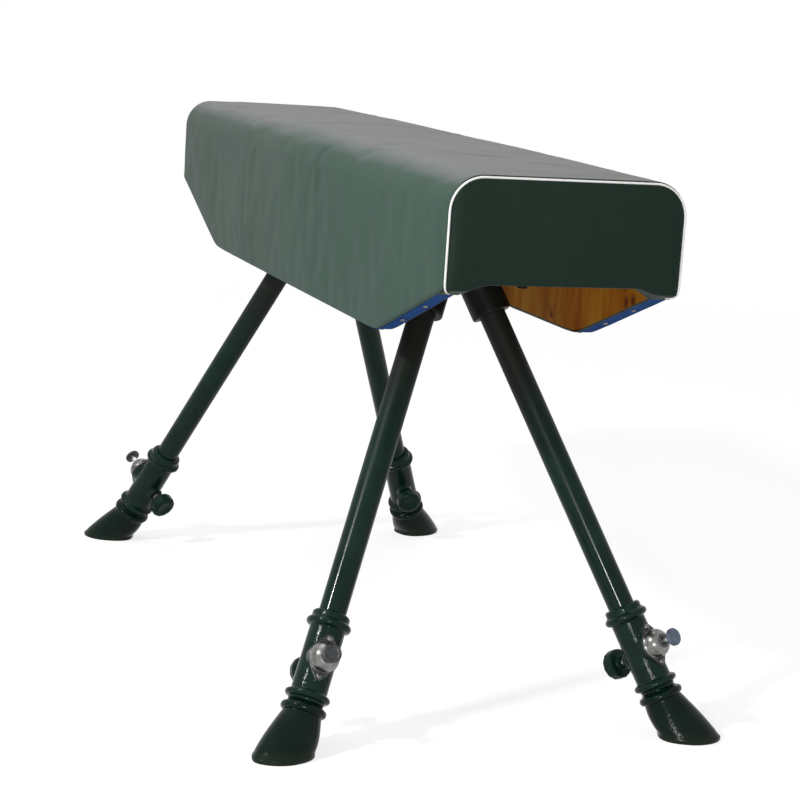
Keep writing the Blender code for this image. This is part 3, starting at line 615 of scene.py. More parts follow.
def legAxes(sx, sy):
    # the leg's foot on the floor, the way up it, and the way out along its plunger
    tilt, splay = math.radians(stance["tilt"]), math.radians(stance["splay"])
    turn = math.radians(stance["plungerTurn"] - sx * sy * stance["castingTurn"])
    level = Vector((sx * math.cos(splay), sy * math.sin(splay), 0))
    aside = Vector((sx * math.sin(splay), -sy * math.cos(splay), 0))
    up = upright * math.cos(tilt) - level * math.sin(tilt)
    out = level * math.cos(tilt) + upright * math.sin(tilt)
    foot = Vector((sx * stance["footX"], sy * stance["footY"], 0))
    return foot, up, out * math.cos(turn) + aside * math.sin(turn)


def legMatrix(sx, sy):
    foot, up, plunger = legAxes(sx, sy)
    return Matrix.Translation(foot) @ Matrix((plunger, up.cross(plunger), up)).transposed().to_4x4()


tube = {
    "radius": 0.0212, "bore": 0.0180, "foot": 0.1703, "top": 0.7760, "edge": 0.0007, "boreEdge": 0.0005,
    "slideRadius": 0.01685, "slideBore": 0.0136, "slideFoot": 0.0403, "slideTop": 0.7600,
    "hole": 0.0060, "holes": 8, "holeStep": 0.05 / math.cos(math.radians(stance["tilt"])),
    "holeFrom": 0.008, "holeTo": 0.030,
}


def tubeMesh(name, radius, bore, foot, top, rows=24):
    # a drawn tube with softened ends
    outside = [(radius, foot + (top - foot) * i / rows, 0) for i in range(1, rows)]
    corners = [(radius, foot, tube["edge"])] + outside + [(radius, top, tube["edge"])]
    corners += [(bore, top, tube["boreEdge"]), (bore, foot, tube["boreEdge"])]
    return turned(name, rounded(corners, 3, closed=True), 56, looped=True)


def slidingTubeMesh():
    t = tube
    mesh = tubeMesh("slidingTube", t["slideRadius"], t["slideBore"], t["slideFoot"], t["slideTop"])
    holes = []
    for i in range(t["holes"]):
        place = Matrix.Translation((0, 0, stance["plungerHeight"] + i * t["holeStep"]))
        place = place @ Matrix.Rotation(math.pi / 2, 4, "Y")
        holes.append(rod("drill", t["hole"], t["holeFrom"], t["holeTo"], 24, place))
    return cut("slidingTube", mesh, [joined("drills", holes)])


def bead(middle, radius, root, half, steps=12):
    # a rounded ring round a sleeve
    angles = [math.pi * i / steps for i in range(steps + 1)]
    return [(root + (radius - root) * math.sin(a), middle - half * math.cos(a)) for a in angles]


def earedPlate(middle, ear, reach, steps=10):
    # a round plate with an ear on each side, as arcs joined by their common tangents
    touch = math.degrees(math.acos((middle - ear) / reach))
    points = arc((reach, 0), ear, -touch, touch, steps)
    points += arc((0, 0), middle, touch, 180 - touch, steps)
    points += arc((-reach, 0), ear, 180 - touch, 180 + touch, steps)
    return points + arc((0, 0), middle, 180 + touch, 360 - touch, steps)


plungerPlace = Matrix.Translation((0, 0, stance["plungerHeight"])) @ Matrix.Rotation(math.pi / 2, 4, "Y")
clampPlace = Matrix.Translation((0, 0, stance["clampHeight"])) @ Matrix.Rotation(-math.pi / 2, 4, "Y")

casting = {
    "foot": 0.0823, "neck": 0.0280, "sleeve": 0.0275, "top": 0.2235, "mouth": 0.0256,
    "lowerRing": 0.0925, "lowerRadius": 0.0352, "lowerHalf": 0.0060,
    "upperRing": 0.2055, "upperRadius": 0.0350, "upperHalf": 0.0068,
    "lipFoot": 0.2135, "lip": 0.0292,
    "seat": 0.0290, "seatRoot": 0.006, "seatPlate": 0.0238, "ear": 0.0072, "earReach": 0.0290,
    "boss": 0.0140, "bossRoot": 0.0165, "bossFoot": 0.018, "bossTop": 0.0350,
    "slideWay": 0.0175, "tubeWay": 0.0216, "tubeSeat": 0.1703, "pinWay": 0.0058, "screwWay": 0.0068,
    "wayFrom": 0.007, "pinWayTo": 0.040, "screwWayTo": 0.045,
    "voxel": 0.0009, "passes": 6, "lumps": 0.00016, "lumpSize": 0.0042,
}


def castingMesh(c):
    line = [(c["neck"], c["foot"])]
    line += bead(c["lowerRing"], c["lowerRadius"], c["neck"], c["lowerHalf"])
    line += bead(c["upperRing"], c["upperRadius"], c["sleeve"], c["upperHalf"])
    line += [(c["lip"], c["lipFoot"]), (c["lip"], c["top"] - 0.003), (c["mouth"] + 0.001, c["top"])]
    sleeve = turned("sleeve", line, 72)
    seat = prism("seat", earedPlate(c["seatPlate"], c["ear"], c["earReach"]), c["seatRoot"], c["seat"])
    boss = turned("boss", [(c["bossRoot"], c["bossFoot"]), (c["boss"], c["bossTop"])], 40)
    solid = cast(
        "lockCasting", sleeve, [moved(seat, plungerPlace), moved(boss, clampPlace)],
        c["voxel"], c["passes"], c["lumps"], c["lumpSize"],
    )
    return cut("lockCasting", solid, [
        rod("slideWay", c["slideWay"], c["foot"] - 0.01, c["tubeSeat"] + 0.001, 48),
        rod("tubeWay", c["tubeWay"], c["tubeSeat"], c["top"] + 0.01, 48),
        rod("pinWay", c["pinWay"], c["wayFrom"], c["pinWayTo"], 24, plungerPlace),
        rod("screwWay", c["screwWay"], c["wayFrom"], c["screwWayTo"], 24, clampPlace),
    ])


plunger = {
    "foot": 0.0293, "flange": 0.0245, "thick": 0.0030, "ear": 0.0072, "earReach": 0.0290,
    "dome": 0.0228, "domeAngle": 68, "band": 0.0012, "shoulder": 0.0372, "top": 0.0552,
    "collar": 0.0088, "collarTop": 0.0566,
    "room": 0.0105, "roof": 0.0520, "way": 0.0054, "rivet": 0.0045, "rivetRise": 0.0026,
    "pin": 0.0050, "tip": 0.0173, "spring": 0.0390, "springTop": 0.0420, "springRing": 0.0095,
    "head": 0.0140, "headFoot": 0.0740, "headTop": 0.0785, "dimple": 0.0012,
}


def housingMesh(p):
    foot = p["foot"]
    flange = prism("flange", earedPlate(p["flange"], p["ear"], p["earReach"]), foot, foot + p["thick"])
    dome, shoulder, band = p["dome"], p["shoulder"], p["dome"] - p["band"]
    line = [(dome, foot + 0.001), (dome, shoulder - 0.0035), (band, shoulder - 0.0025)]
    line += [(band, shoulder - 0.0010), (dome, shoulder)]
    for i in range(1, 12):
        angle = math.radians(p["domeAngle"] * i / 11)
        rise = (p["top"] - shoulder) * math.sin(angle) / math.sin(math.radians(p["domeAngle"]))
        line.append((dome * math.cos(angle), shoulder + rise))
    line += [(p["collar"] + 0.0004, p["top"]), (p["collar"], p["collarTop"])]
    solid = cast("plungerHousing", flange, [turned("dome", line, 64)], 0.00055, 3, 0.00005, 0.003)
    parts = [cut("plungerHousing", solid, [
        rod("room", p["room"], foot - 0.01, p["roof"], 32),
        rod("way", p["way"], p["roof"] - 0.01, p["collarTop"] + 0.01, 32),
    ])]
    face = foot + p["thick"]
    rise = [(p["rivet"], face - 0.001, 0), (p["rivet"], face + 0.0006, 0.0004)]
    rise += [(p["rivet"] * 0.72, face + p["rivetRise"] * 0.8, 0.0009), (0.0004, face + p["rivetRise"], 0)]
    for side in (1, -1):
        rivet = turned("rivet", rounded(rise, 5), 24)
        parts.append(moved(rivet, Matrix.Translation((side * p["earReach"], 0, 0))))
    return joined("plungerHousing", parts)


def pinMesh(p):
    pin, ring, head, edge, crease = p["pin"], p["springRing"], p["head"], 0.0007, 0.0002
    face = p["headTop"] - p["dimple"]
    return turned("plungerPin", rounded([
        (0.0004, p["tip"], 0), (pin - 0.0012, p["tip"], edge), (pin, p["tip"] + 0.0015, edge),
        (pin, p["spring"], crease), (ring, p["spring"], edge), (ring, p["springTop"], edge),
        (pin, p["springTop"], crease), (pin, p["headFoot"], 0.0006), (head, p["headFoot"], edge),
        (head, p["headTop"], 0.0012), (head * 0.72, p["headTop"], 0.0008), (head * 0.62, face, 0.0008),
        (0.0004, face, 0),
    ], 4), 40)


spring = {
    "radius": 0.0075, "wire": 0.0006, "gap": 0.00005, "turns": 4.5, "endTurns": 0.75, "endRise": 0.00094,
    "points": 160, "sides": 8, "keep": 0.38,
}


def springMesh(s, low, high):
    # a coil of round wire whose first and last turns lie closer together
    low, high = low + s["wire"] + s["gap"], high - s["wire"] - s["gap"]
    stops = [0, s["endTurns"], s["turns"] - s["endTurns"], s["turns"]]
    heights = [low, low + s["endRise"], high - s["endRise"], high]
    rings = []
    for i in range(s["points"] + 1):
        turn = s["turns"] * i / s["points"]
        out = Vector((math.cos(2 * math.pi * turn), math.sin(2 * math.pi * turn), 0))
        centre = out * s["radius"] + upright * float(np.interp(turn, stops, heights))
        rings.append([centre + (out * x + upright * y) for x, y, _ in ringAt(s["wire"], 0, s["sides"])])
    return loft("returnSpring", rings)


clamp = {
    "shank": 0.0060, "root": 0.0052, "tip": 0.0173, "end": 0.0620, "pitch": 0.00175,
    "threadFrom": 0.0200, "threadTo": 0.0500,
    "hub": 0.0112, "hubRoot": 0.0128, "foot": 0.0450, "underside": 0.0500, "top": 0.0720,
    "radius": 0.0240, "flats": 12, "bore": 0.0064, "dish": 0.0012,
    "sides": 24, "ringsPerTurn": 8,
}


def screwMesh(c):
    # a rolled thread between plain ends
    sides = c["sides"]
    step = c["pitch"] / c["ringsPerTurn"]
    count = int((c["threadTo"] - c["threadFrom"]) / step)
    rings = [ringAt(c["shank"] - 0.0015, c["tip"], sides), ringAt(c["shank"], c["tip"] + 0.0012, sides)]
    for i in range(count + 1):
        height = c["threadFrom"] + i * step
        ring = []
        for j in range(sides):
            angle = 2 * math.pi * j / sides
            wave = abs(((height / c["pitch"] - j / sides) % 1.0) * 2 - 1)
            radius = c["root"] + (c["shank"] - c["root"]) * min(1.0, wave * 1.3)
            ring.append((radius * math.cos(angle), radius * math.sin(angle), height))
        rings.append(ring)
    rings += [ringAt(c["shank"], c["end"] - 0.001, sides), ringAt(c["shank"] - 0.001, c["end"], sides)]
    return loft("clampScrew", rings)


def knobMesh(c):
    # a cast hand knob with flats round its edge, a round hub below and a dished face
    sides = 8 * c["flats"]

    def edge(radius, height, roundness=1):
        ring = []
        for i in range(sides):
            angle = 2 * math.pi * i / sides
            off = (angle * c["flats"] / (2 * math.pi)) % 1.0 - 0.5
            flat = math.cos(math.pi / c["flats"]) / math.cos(off * 2 * math.pi / c["flats"])
            reach = radius * (roundness + (1 - roundness) * min(flat, 0.993))
            ring.append((reach * math.cos(angle), reach * math.sin(angle), height))
        return ring

    full, hub, low, high, dish = c["radius"], c["hub"], c["underside"], c["top"], c["top"] - c["dish"]
    rows = [
        (c["bore"], c["end"] + 0.0003), (c["bore"], c["foot"]), (hub - 0.0006, c["foot"]),
        (hub, c["foot"] + 0.0006), (hub, low - 0.002), (c["hubRoot"], low),
        (full - 0.0045, low + 0.0006, 0.6), (full - 0.0016, low + 0.0014, 0), (full, low + 0.0036, 0),
        (full, low + 0.0038, 0), (full, high - 0.0052, 0), (full, high - 0.0050, 0),
        (full - 0.0014, high - 0.0026, 0), (full - 0.0045, high - 0.0010, 0.4),
        (full * 0.66, high), (full * 0.50, high - 0.0002), (full * 0.42, dish), (full * 0.10, dish),
    ]
    return loft("clampKnob", [edge(*row) for row in rows])


hoof = {
    "foot": 0.0400, "top": 0.0817, "bore": 0.0175, "sleeve": 0.0277, "neck": 0.0300,
    "ring": 0.0715, "ringRadius": 0.0356, "ringHalf": 0.0064,
    "middle": 0.0145, "halfLength": 0.0495, "halfWidth": 0.0385, "heel": 2.6,
    "rim": 0.0070, "bevel": 0.0020, "bulge": 0.0008, "brow": 0.0020, "heelFill": 0.0022, "toe": 1.75,
    "edge": 0.0012, "groove": 0.0008, "grooveAt": 0.93, "grooveWidth": 0.04, "sides": 72, "steps": 20,
}


def hoofMesh(h, sx, sy):
    foot, up, _ = legAxes(sx, sy)
    turn = math.radians(stance["toeTurn"])
    toe = Vector((sx * math.cos(turn), sy * math.sin(turn), 0))
    beside = upright.cross(toe)
    ahead = (toe - up * toe.dot(up)).normalized()
    across = up.cross(ahead)
    angles = [2 * math.pi * i / h["sides"] for i in range(h["sides"])]

    def collar(radius, height):
        centre = foot + up * height
        return [centre + (ahead * math.cos(a) + across * math.sin(a)) * radius for a in angles]

    def sole(height, inset):
        ring = []
        for a in angles:
            along, aside = math.cos(a), math.sin(a)
            power = 2 / (h["heel"] if along < 0 else h["toe"])
            along = math.copysign(abs(along) ** power, along)
            aside = math.copysign(abs(aside) ** power, aside)
            reach = h["middle"] + (h["halfLength"] - inset) * along
            ring.append(foot + toe * reach + beside * (h["halfWidth"] - inset) * aside + upright * height)
        return ring

    top, edge = h["top"], h["edge"]
    rings = [collar(h["bore"], h["foot"]), collar(h["bore"], top - edge), collar(h["bore"] + edge, top)]
    rings += [collar(h["sleeve"] - edge, top), collar(h["sleeve"], top - edge)]
    rings += [collar(r, z) for r, z in reversed(bead(h["ring"], h["ringRadius"], h["neck"], h["ringHalf"]))]
    neck, rim = rings[-1], sole(h["rim"], 0)
    for i in range(1, h["steps"]):
        share = i / h["steps"]
        ring = []
        for high, low in zip(neck, rim):
            point = high.lerp(low, share)
            middle = foot + (up * neck[0].z / up.z).lerp(toe * h["middle"], share)
            away = Vector((point.x - middle.x, point.y - middle.y, 0)).normalized()
            front = away.dot(toe)
            swell = h["bulge"] + (h["brow"] if front > 0 else h["heelFill"]) * front * front
            groove = h["groove"] * math.exp(-(((share - h["grooveAt"]) / h["grooveWidth"]) ** 2))
            ring.append(point + away * (swell * math.sin(math.pi * share) - groove))
        rings.append(ring)
    bevel = h["bevel"]
    rings += [rim, sole(h["rim"] * 0.6, -0.0002), sole(bevel, 0)]
    rings += [sole(bevel * 0.4, bevel * 0.45), sole(0, bevel)]
    return worked("hoof", loft("hoof", rings), [softEdge(0.0004)])


def buildLegs():
    outer = tubeMesh("outerTube", tube["radius"], tube["bore"], tube["foot"], tube["top"], 40)
    slide = slidingTubeMesh()
    block = castingMesh(casting)
    housing = housingMesh(plunger)
    pin = pinMesh(plunger)
    bluePin = pin.copy()
    disc, dome = plunger["headFoot"] - 0.0002, plunger["foot"] + plunger["thick"] + 0.0003
    twoFinishes(pin, pinMetal, greyZincMetal, disc)
    twoFinishes(bluePin, pinMetal, blueZincMetal, disc)
    twoFinishes(housing, darkZincMetal, zincMetal, dome, plunger["top"] - 0.0012)
    coil = springMesh(spring, plunger["springTop"], plunger["roof"])
    screw = screwMesh(clamp)
    knob = knobMesh(clamp)
    for leg, (sx, sy) in legSides.items():
        place = legMatrix(sx, sy)
        lock, grip = place @ plungerPlace, place @ clampPlace
        slideBody, shoe = "leg_" + leg, hoofMesh(hoof, sx, sy)
        pull = bluePin if leg == "front_left" else pin
        rows = [
            ("outerTube_", outer, tubePaint, "root", "green_paint", "outer_tube_", place),
            ("slidingTube_", slide, innerMetal, slideBody, "tube_steel", "inner_tube_", place),
            ("lockCasting_", block, castPaint, "root", "cast_paint", "lock_casting_", place),
            ("hoof_cast_", shoe, hoofPaint, slideBody, "cast_paint", "hoof_", None),
            ("plungerDome_", housing, zincMetal, "root", "bright_metal", "plunger_housing_", lock),
            ("pullPin_", pull, pinMetal, "pin_" + leg, "pin_metal", "plunger_pin_", lock),
            ("clampScrew_", screw, screwMetal, "screw_" + leg, "screw_steel", "clamp_screw_", grip),
            ("clampKnob_", knob, knobPaint, "knob_" + leg, "knob_paint", "clamp_knob_", grip),
            ("returnSpring_", coil, springMetal, "root", "spring_steel", "plunger_spring_", lock),
        ]
        for name, mesh, paint, body, slot, node, matrix in rows:
            piece = addPiece(name + leg, mesh, paint, body, [node + leg], matrix)
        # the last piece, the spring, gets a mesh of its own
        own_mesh(piece)


def twoFinishes(mesh, near, far, height, upTo=1.0):
    # one finish below a height and another above it, as far up as upTo
    mesh.materials.append(near.material)
    mesh.materials.append(far.material)
    for face in mesh.polygons:
        face.material_index = 1 if height < face.center.z < upTo else 0


def dress(node, paint):
    # a CAD node that stays, in its own finish
    mesh = nodes[node].data
    mesh.materials.clear()
    mesh.materials.append(paint.material)


buildLegs()
print("legs built")


# Body

body = {
    "halfLength": 0.800, "halfWidth": 0.180, "height": 0.880, "endFoot": 0.720, "foot": 0.614,
    "foldX": 0.504, "foldSoft": 0.016, "round": 0.050, "crown": 0.004, "bulge": 0.0026,
    "coverEnd": 0.7985, "wallBack": 0.1517, "wallFace": 0.1697, "boardEnd": 0.7897, "padTop": 0.8478,
    "strip": 0.0013, "corner": 0.0050, "skin": 0.0020, "tuck": 0.0026, "roll": 0.0035,
    "clear": 0.0003, "endInset": 0.0033, "short": 0.28, "shortBelow": 0.775, "shortFade": 0.04,
    "heldRows": 9, "heldColumns": 10,
    "pressure": 0.10, "slack": 0.0006, "most": 0.0035,
}


def lowerEdge(x, soft=0.0):
    # the walls' foot: level, then rising to both ends
    past = abs(x) - body["foldX"]
    rise = 0.5 * (past + math.sqrt(past * past + soft * soft))
    slope = (body["endFoot"] - body["foot"]) / (body["halfLength"] - body["foldX"])
    return body["foot"] + max(0.0, rise) * slope


def swellAt(x):
    return 1.0 - (x / body["halfLength"]) ** 2


def coverHalf(x):
    # half the cover's section on +Y, as (y, z) outside and inside, with as many points in each
    b = body
    foot = lowerEdge(x, b["foldSoft"]) + b["strip"]
    width, high, bend, corner = b["halfWidth"], b["height"], b["round"], b["corner"]
    near = 1 - min(1.0, (b["coverEnd"] - abs(x)) / b["roll"])
    tuck = b["tuck"] * (1 - math.sqrt(1 - near * near))
    atEnd = abs(x) > b["boardEnd"] - 0.001
    inset = b["endInset"] if atEnd else width - b["wallFace"] - b["clear"]
    topInset = b["endInset"] if atEnd else high - b["padTop"]
    low, top, within = foot + corner, high - bend, foot + b["skin"]
    outside = [(b["wallBack"] + (width - corner - b["wallBack"]) * i / 4, foot) for i in range(5)]
    inside = [(min(y, width - inset - 0.001), within) for y, _ in outside]
    outside += arc((width - corner, low), corner, -90, 0, 6)[1:6]
    inside += [(width - inset, within + 0.001 * i) for i in range(1, 6)]
    for i in range(29):
        share = i / 28
        swell = b["bulge"] * swellAt(x) * math.sin(math.pi * min(1.0, share * 1.04)) ** 0.8
        outside.append((width - tuck + swell, low + (top - low) * share))
        inside.append((width - inset, within + 0.006 + (top - low - 0.004) * share))
    inner = arc((width - bend, top), bend - inset, 0, 90, 10)
    outer = arc((width - bend, top), bend - tuck, 0, 90, 10)
    for i in range(1, 11):
        place = (width - bend + bend * math.cos(math.radians(9 * i))) / width
        outside.append((outer[i][0], outer[i][1] + b["crown"] * swellAt(x) * (1 - place ** 2)))
        straight = (width - inset - 0.0004 * i, top + (high - topInset - top) * i / 10)
        inside.append(inner[i] if atEnd else straight)
    for i in range(1, 15):
        y = (width - bend) * (1 - i / 14)
        lift = b["crown"] * swellAt(x) * (1 - (y / width) ** 2)
        outside.append((y, high - tuck + lift))
        inside.append((y * (1.0 if atEnd else 1.25), high - topInset))
    return outside, inside


def mirrored(half):
    return half + [(-y, z) for y, z in reversed(half[:-1])]


def coverStations():
    b = body
    stops = [b["coverEnd"] - back for back in (0, 0.0002, 0.0006, 0.0013, 0.0022, 0.0035, 0.0060)]
    stops += [b["boardEnd"] - 0.0005, b["boardEnd"] - 0.0015]
    stops += [b["boardEnd"] - 0.004 - 0.008 * i for i in range(98)]
    return sorted({round(s * x, 5) for s in (-1, 1) for x in stops if x > 0} | {0.0})


def coverPoint(x, y, z):
    # the cover stops a little short at its lower corners, where the end panel laps under
    past = max(0.0, abs(x) - body["boardEnd"])
    low = min(1.0, max(0.0, (body["shortBelow"] - z) / body["shortFade"]))
    return Vector((math.copysign(abs(x) - past * low * body["short"], x), y, z))


def coverMesh():
    # one skin outside, one inside against the boards, joined round their borders
    outside, inside = [], []
    for x in coverStations():
        outer, inner = coverHalf(x)
        outside.append([coverPoint(x, y, z) for y, z in mirrored(outer)])
        inside.append([coverPoint(x, y, z) for y, z in mirrored(inner)])
    wave(outside)
    ends, edges = body["heldRows"], body["heldColumns"]
    patch = [row[edges:-edges] for row in outside[ends:-ends]]
    settle("coverCloth", patch, upright, body["pressure"], body["slack"], body["most"])
    crease(outside)
    return shell("paddedCover", outside, inside)


waves = {
    "large": 0.0009, "largeScale": 7.0, "small": 0.0003, "smallScale": 22.0,
    "fade": 0.05, "above": 0.012,
}


def wave(rows):
    # the slight unevenness of leatherette over padding
    w = waves
    for row in rows:
        for point in row:
            reach = min(1.0, (body["coverEnd"] - abs(point.x)) / w["fade"])
            middle = Vector((point.x, 0, min(max(point.z, 0.66), 0.80)))
            away = (point - middle).normalized()
            if point.z > lowerEdge(point.x) + w["above"]:
                lump = noise.noise(point * w["largeScale"]) * w["large"]
                lump += noise.noise(point * w["smallScale"]) * w["small"]
                point += away * (lump * reach)


settling = {
    "frames": 20, "quality": 6, "mass": 0.35, "tension": 22.0, "shear": 8.0, "bending": 0.6, "damping": 4.0,
}


def settle(name, rows, outward, pressure, slack, most):
    # leatherette over its padding: a cloth cut a little large, held along its borders and pressed outward;
    # each point of the rows then moves with it, but no further than most
    count, columns = len(rows), len(rows[0])
    mesh = meshFrom(name, [point for row in rows for point in row], gridFaces(count, columns, False))
    middle = mesh.polygons[(count // 2) * (columns - 1) + (columns - 1) // 2]
    if middle.normal.dot(outward) < 0:
        mesh.flip_normals()
    item = newObject(name, mesh)
    border = [i * columns + j for i in range(count) for j in range(columns)
              if i in (0, count - 1) or j in (0, columns - 1)]
    item.vertex_groups.new(name="held").add(border, 1.0, "REPLACE")
    cloth = item.modifiers.new("cloth", "CLOTH")
    looks = cloth.settings
    looks.quality = settling["quality"]
    looks.mass = settling["mass"]
    looks.tension_stiffness = looks.compression_stiffness = settling["tension"]
    looks.shear_stiffness = settling["shear"]
    looks.bending_stiffness = settling["bending"]
    looks.tension_damping = looks.compression_damping = settling["damping"]
    looks.use_pressure = True
    looks.uniform_pressure_force = pressure
    looks.effector_weights.gravity = 0
    looks.vertex_group_mass = "held"
    looks.shrink_min = looks.shrink_max = -slack
    cloth.collision_settings.use_collision = False
    cloth.point_cache.frame_end = settling["frames"]
    for step in range(1, settling["frames"] + 1):
        bpy.context.scene.frame_set(step)
    ready = item.evaluated_get(bpy.context.evaluated_depsgraph_get())
    places = [vertex.co.copy() for vertex in ready.data.vertices]
    furthest = 0.0
    for i, row in enumerate(rows):
        for j, point in enumerate(row):
            move = places[i * columns + j] - point
            furthest = max(furthest, move.length)
            if move.length > most:
                move = move * (most / move.length)
            point += move
    bpy.data.objects.remove(item, do_unlink=True)
    bpy.context.scene.frame_set(1)
    print(name, "settled, furthest", round(furthest * 1000, 2), "mm")


creases = {
    "lines": [
        [(-0.250, -0.178), (-0.330, -0.152), (-0.312, -0.131), (-0.235, -0.134)],
        [(-0.480, -0.048), (-0.350, -0.062), (-0.215, -0.071)],
        [(-0.640, -0.150), (-0.560, -0.120), (-0.500, -0.128)],
        [(0.440, -0.070), (0.500, -0.024), (0.520, 0.020)],
        [(0.700, 0.070), (0.640, 0.045), (0.610, 0.000)],
        [(-0.700, 0.110), (-0.655, 0.075), (-0.660, 0.030)],
    ],
    "depth": 0.0030, "width": 0.0100, "above": 0.845, "rise": 0.35,
}


def awayFrom(point, line):
    # distance on the level from a point to a line of points, and how far along the line that is
    least, place = 1.0, 0.0
    spans = len(line) - 1
    for i in range(spans):
        first, last = Vector(line[i]), Vector(line[i + 1])
        run = last - first
        share = min(1.0, max(0.0, (Vector(point[:2]) - first).dot(run) / run.length_squared))
        away = (Vector(point[:2]) - first - run * share).length
        if away < least:
            least, place = away, (i + share) / spans
    return least, place


def crease(rows):
    # soft puckers in the leatherette on top: a groove with a low swelling beside it
    for row in rows:
        for point in row:
            if point.z < creases["above"]:
                continue
            for line in creases["lines"]:
                away, place = awayFrom(point, line)
                away = away / creases["width"]
                if away < 4:
                    fade = creases["depth"] * math.sin(math.pi * place) ** 0.7
                    beside = creases["rise"] * math.exp(-((away - 2) ** 2))
                    point.z -= fade * (math.exp(-away * away) - beside)


def shell(name, outside, inside):
    rows, columns = len(outside), len(outside[0])
    count = rows * columns
    faces = gridFaces(rows, columns, False)
    faces += [tuple(k + count for k in reversed(face)) for face in faces]
    border = [j for j in range(columns)] + [(i + 1) * columns - 1 for i in range(1, rows)]
    border += [(rows - 1) * columns + j for j in range(columns - 2, -1, -1)]
    border += [i * columns for i in range(rows - 2, 0, -1)]
    for here, there in zip(border, border[1:] + border[:1]):
        faces.append((here, here + count, there + count, there))
    mesh = meshFrom(name, [point for grid in (outside, inside) for row in grid for point in row], faces)
    faceOutward(mesh)
    return mesh


endPanel = {
    "edge": 0.1764, "top": 0.8762, "inner": 0.7720, "crown": 0.0022, "corner": 0.005, "faceIn": 0.0012,
    "middleFoot": 0.7262, "archFrom": 0.110, "wall": 0.1514, "lap": 0.0018, "lapFrom": 0.7735,
    "clear": 0.0002, "knee": 0.7228, "kneeX": 0.7966, "fold": 0.0021, "rows": 18, "cornerRows": 6,
    "bulge": 0.0012, "drop": 0.0016, "dropWidth": 0.010, "back": 0.0004,
    "pressure": 3.0, "slack": 0.0005, "most": 0.0015,
    "edgeStep": 0.0012, "lapPlaces": [0.1690, 0.1650, 0.1600, 0.1560, 0.1520],
    "middleFrom": 0.1470, "middleStep": 0.0070,
}


def endFloor(x, y):
    # the underside: level in the middle, falling at the corners to lap under the walls
    e = endPanel
    share = min(1.0, max(0.0, (abs(y) - e["archFrom"]) / (e["wall"] - e["archFrom"])))
    share = share * share * (3 - 2 * share)
    return e["middleFoot"] * (1 - share) + (lowerEdge(x) - e["lap"]) * share


def endTop(y):
    b, e = body, endPanel
    bend = b["round"] - (b["height"] - e["top"])
    past = max(0.0, abs(y) - (b["halfWidth"] - b["round"]))
    return e["top"] - bend + math.sqrt(max(0.0, bend * bend - past * past))


def endRows():
    e = endPanel
    places = [e["edge"] - e["edgeStep"] * i for i in range(4)] + e["lapPlaces"]
    places += [e["wall"], e["wall"] - e["back"]]
    places += [e["middleFrom"] - e["middleStep"] * i for i in range(21)]
    return sorted({round(s * y, 5) for s in (-1, 1) for y in places} | {0.0})


def endSection(y):
    # the panel's section at y as (x, z): under, round the lower corner, up, over, and back inside
    e, b = endPanel, body
    near = math.sqrt(min(1.0, (e["edge"] - abs(y)) / e["dropWidth"]))
    reach = b["halfLength"] + e["crown"] * near - e["drop"] * (1 - near) - e["faceIn"]
    corner, high, turns = e["corner"], endTop(y), e["cornerRows"]
    back = b["boardEnd"] + e["back"]
    atWall = abs(y) >= e["wall"]
    tip = e["lapFrom"] if atWall else e["inner"]
    line = [(x, endFloor(x, y)) for x in (tip, 0.5 * (tip + back), back + 0.002)]
    low = endFloor(reach - corner, y)
    line += arc((reach - corner, low + corner), corner, -90, 0, turns)
    for i in range(1, e["rows"]):
        share = i / e["rows"]
        bulge = e["bulge"] * math.sin(math.pi * share) ** 0.6
        line.append((reach + bulge, low + corner + (high - low - 2 * corner) * share))
    line += arc((reach - corner, high - corner), corner, 0, 90, turns)
    if atWall:
        under = e["lap"] - e["clear"]
        line += [(back, high), (back, e["knee"]), (e["kneeX"], e["knee"] - 0.0002)]
        line += [(e["kneeX"], endFloor(e["kneeX"], y) + under), (tip, endFloor(tip, y) + under)]
    else:
        line += [(back, high), (back, low + 0.0060), (back - 0.0001, low + 0.0045)]
        line += [(back - 0.0002, endFloor(back, y) + e["fold"]), (tip, endFloor(tip, y) + e["fold"])]
    return line


def endMesh(side):
    rings = [[Vector((side * x, y, z)) for x, z in endSection(y)] for y in endRows()]
    e = endPanel
    first = 3 + e["cornerRows"] + 1  # after the underside and the lower corner
    patch = [ring[first:first + e["rows"] - 1] for ring in rings]
    settle("endCloth", patch, Vector((side, 0, 0)), e["pressure"], e["slack"], e["most"])
    return loft("endPanel", rings)


piping = {
    "inset": 0.0017, "topInset": 0.0034, "radius": 0.0017, "sides": 14,
    "tailRise": 0.0090, "tailShare": 0.55,
    # the tail's points: how far back from the end, in from the side, and below the wall's foot
    "tail": [
        (0.0150, 0.0130, 0.0024), (0.0110, 0.0100, 0.0030), (0.0070, 0.0070, 0.0034),
        (0.0036, 0.0040, 0.0030), (0.0012, 0.0016, 0.0004), (0.0003, 0.0004, -0.0040),
    ],
}


def alongPath(path, radii, sides):
    # rings of a round cord through the points of a path, each with its own radius
    rings = []
    last = Vector((1, 0, 0))
    for i, (point, radius) in enumerate(zip(path, radii)):
        along = (path[min(i + 1, len(path) - 1)] - path[max(i - 1, 0)]).normalized()
        last = (last - along * last.dot(along)).normalized()
        beside = along.cross(last)
        angles = [2 * math.pi * k / sides for k in range(sides)]
        rings.append([point + (last * math.cos(a) + beside * math.sin(a)) * radius for a in angles])
    return rings


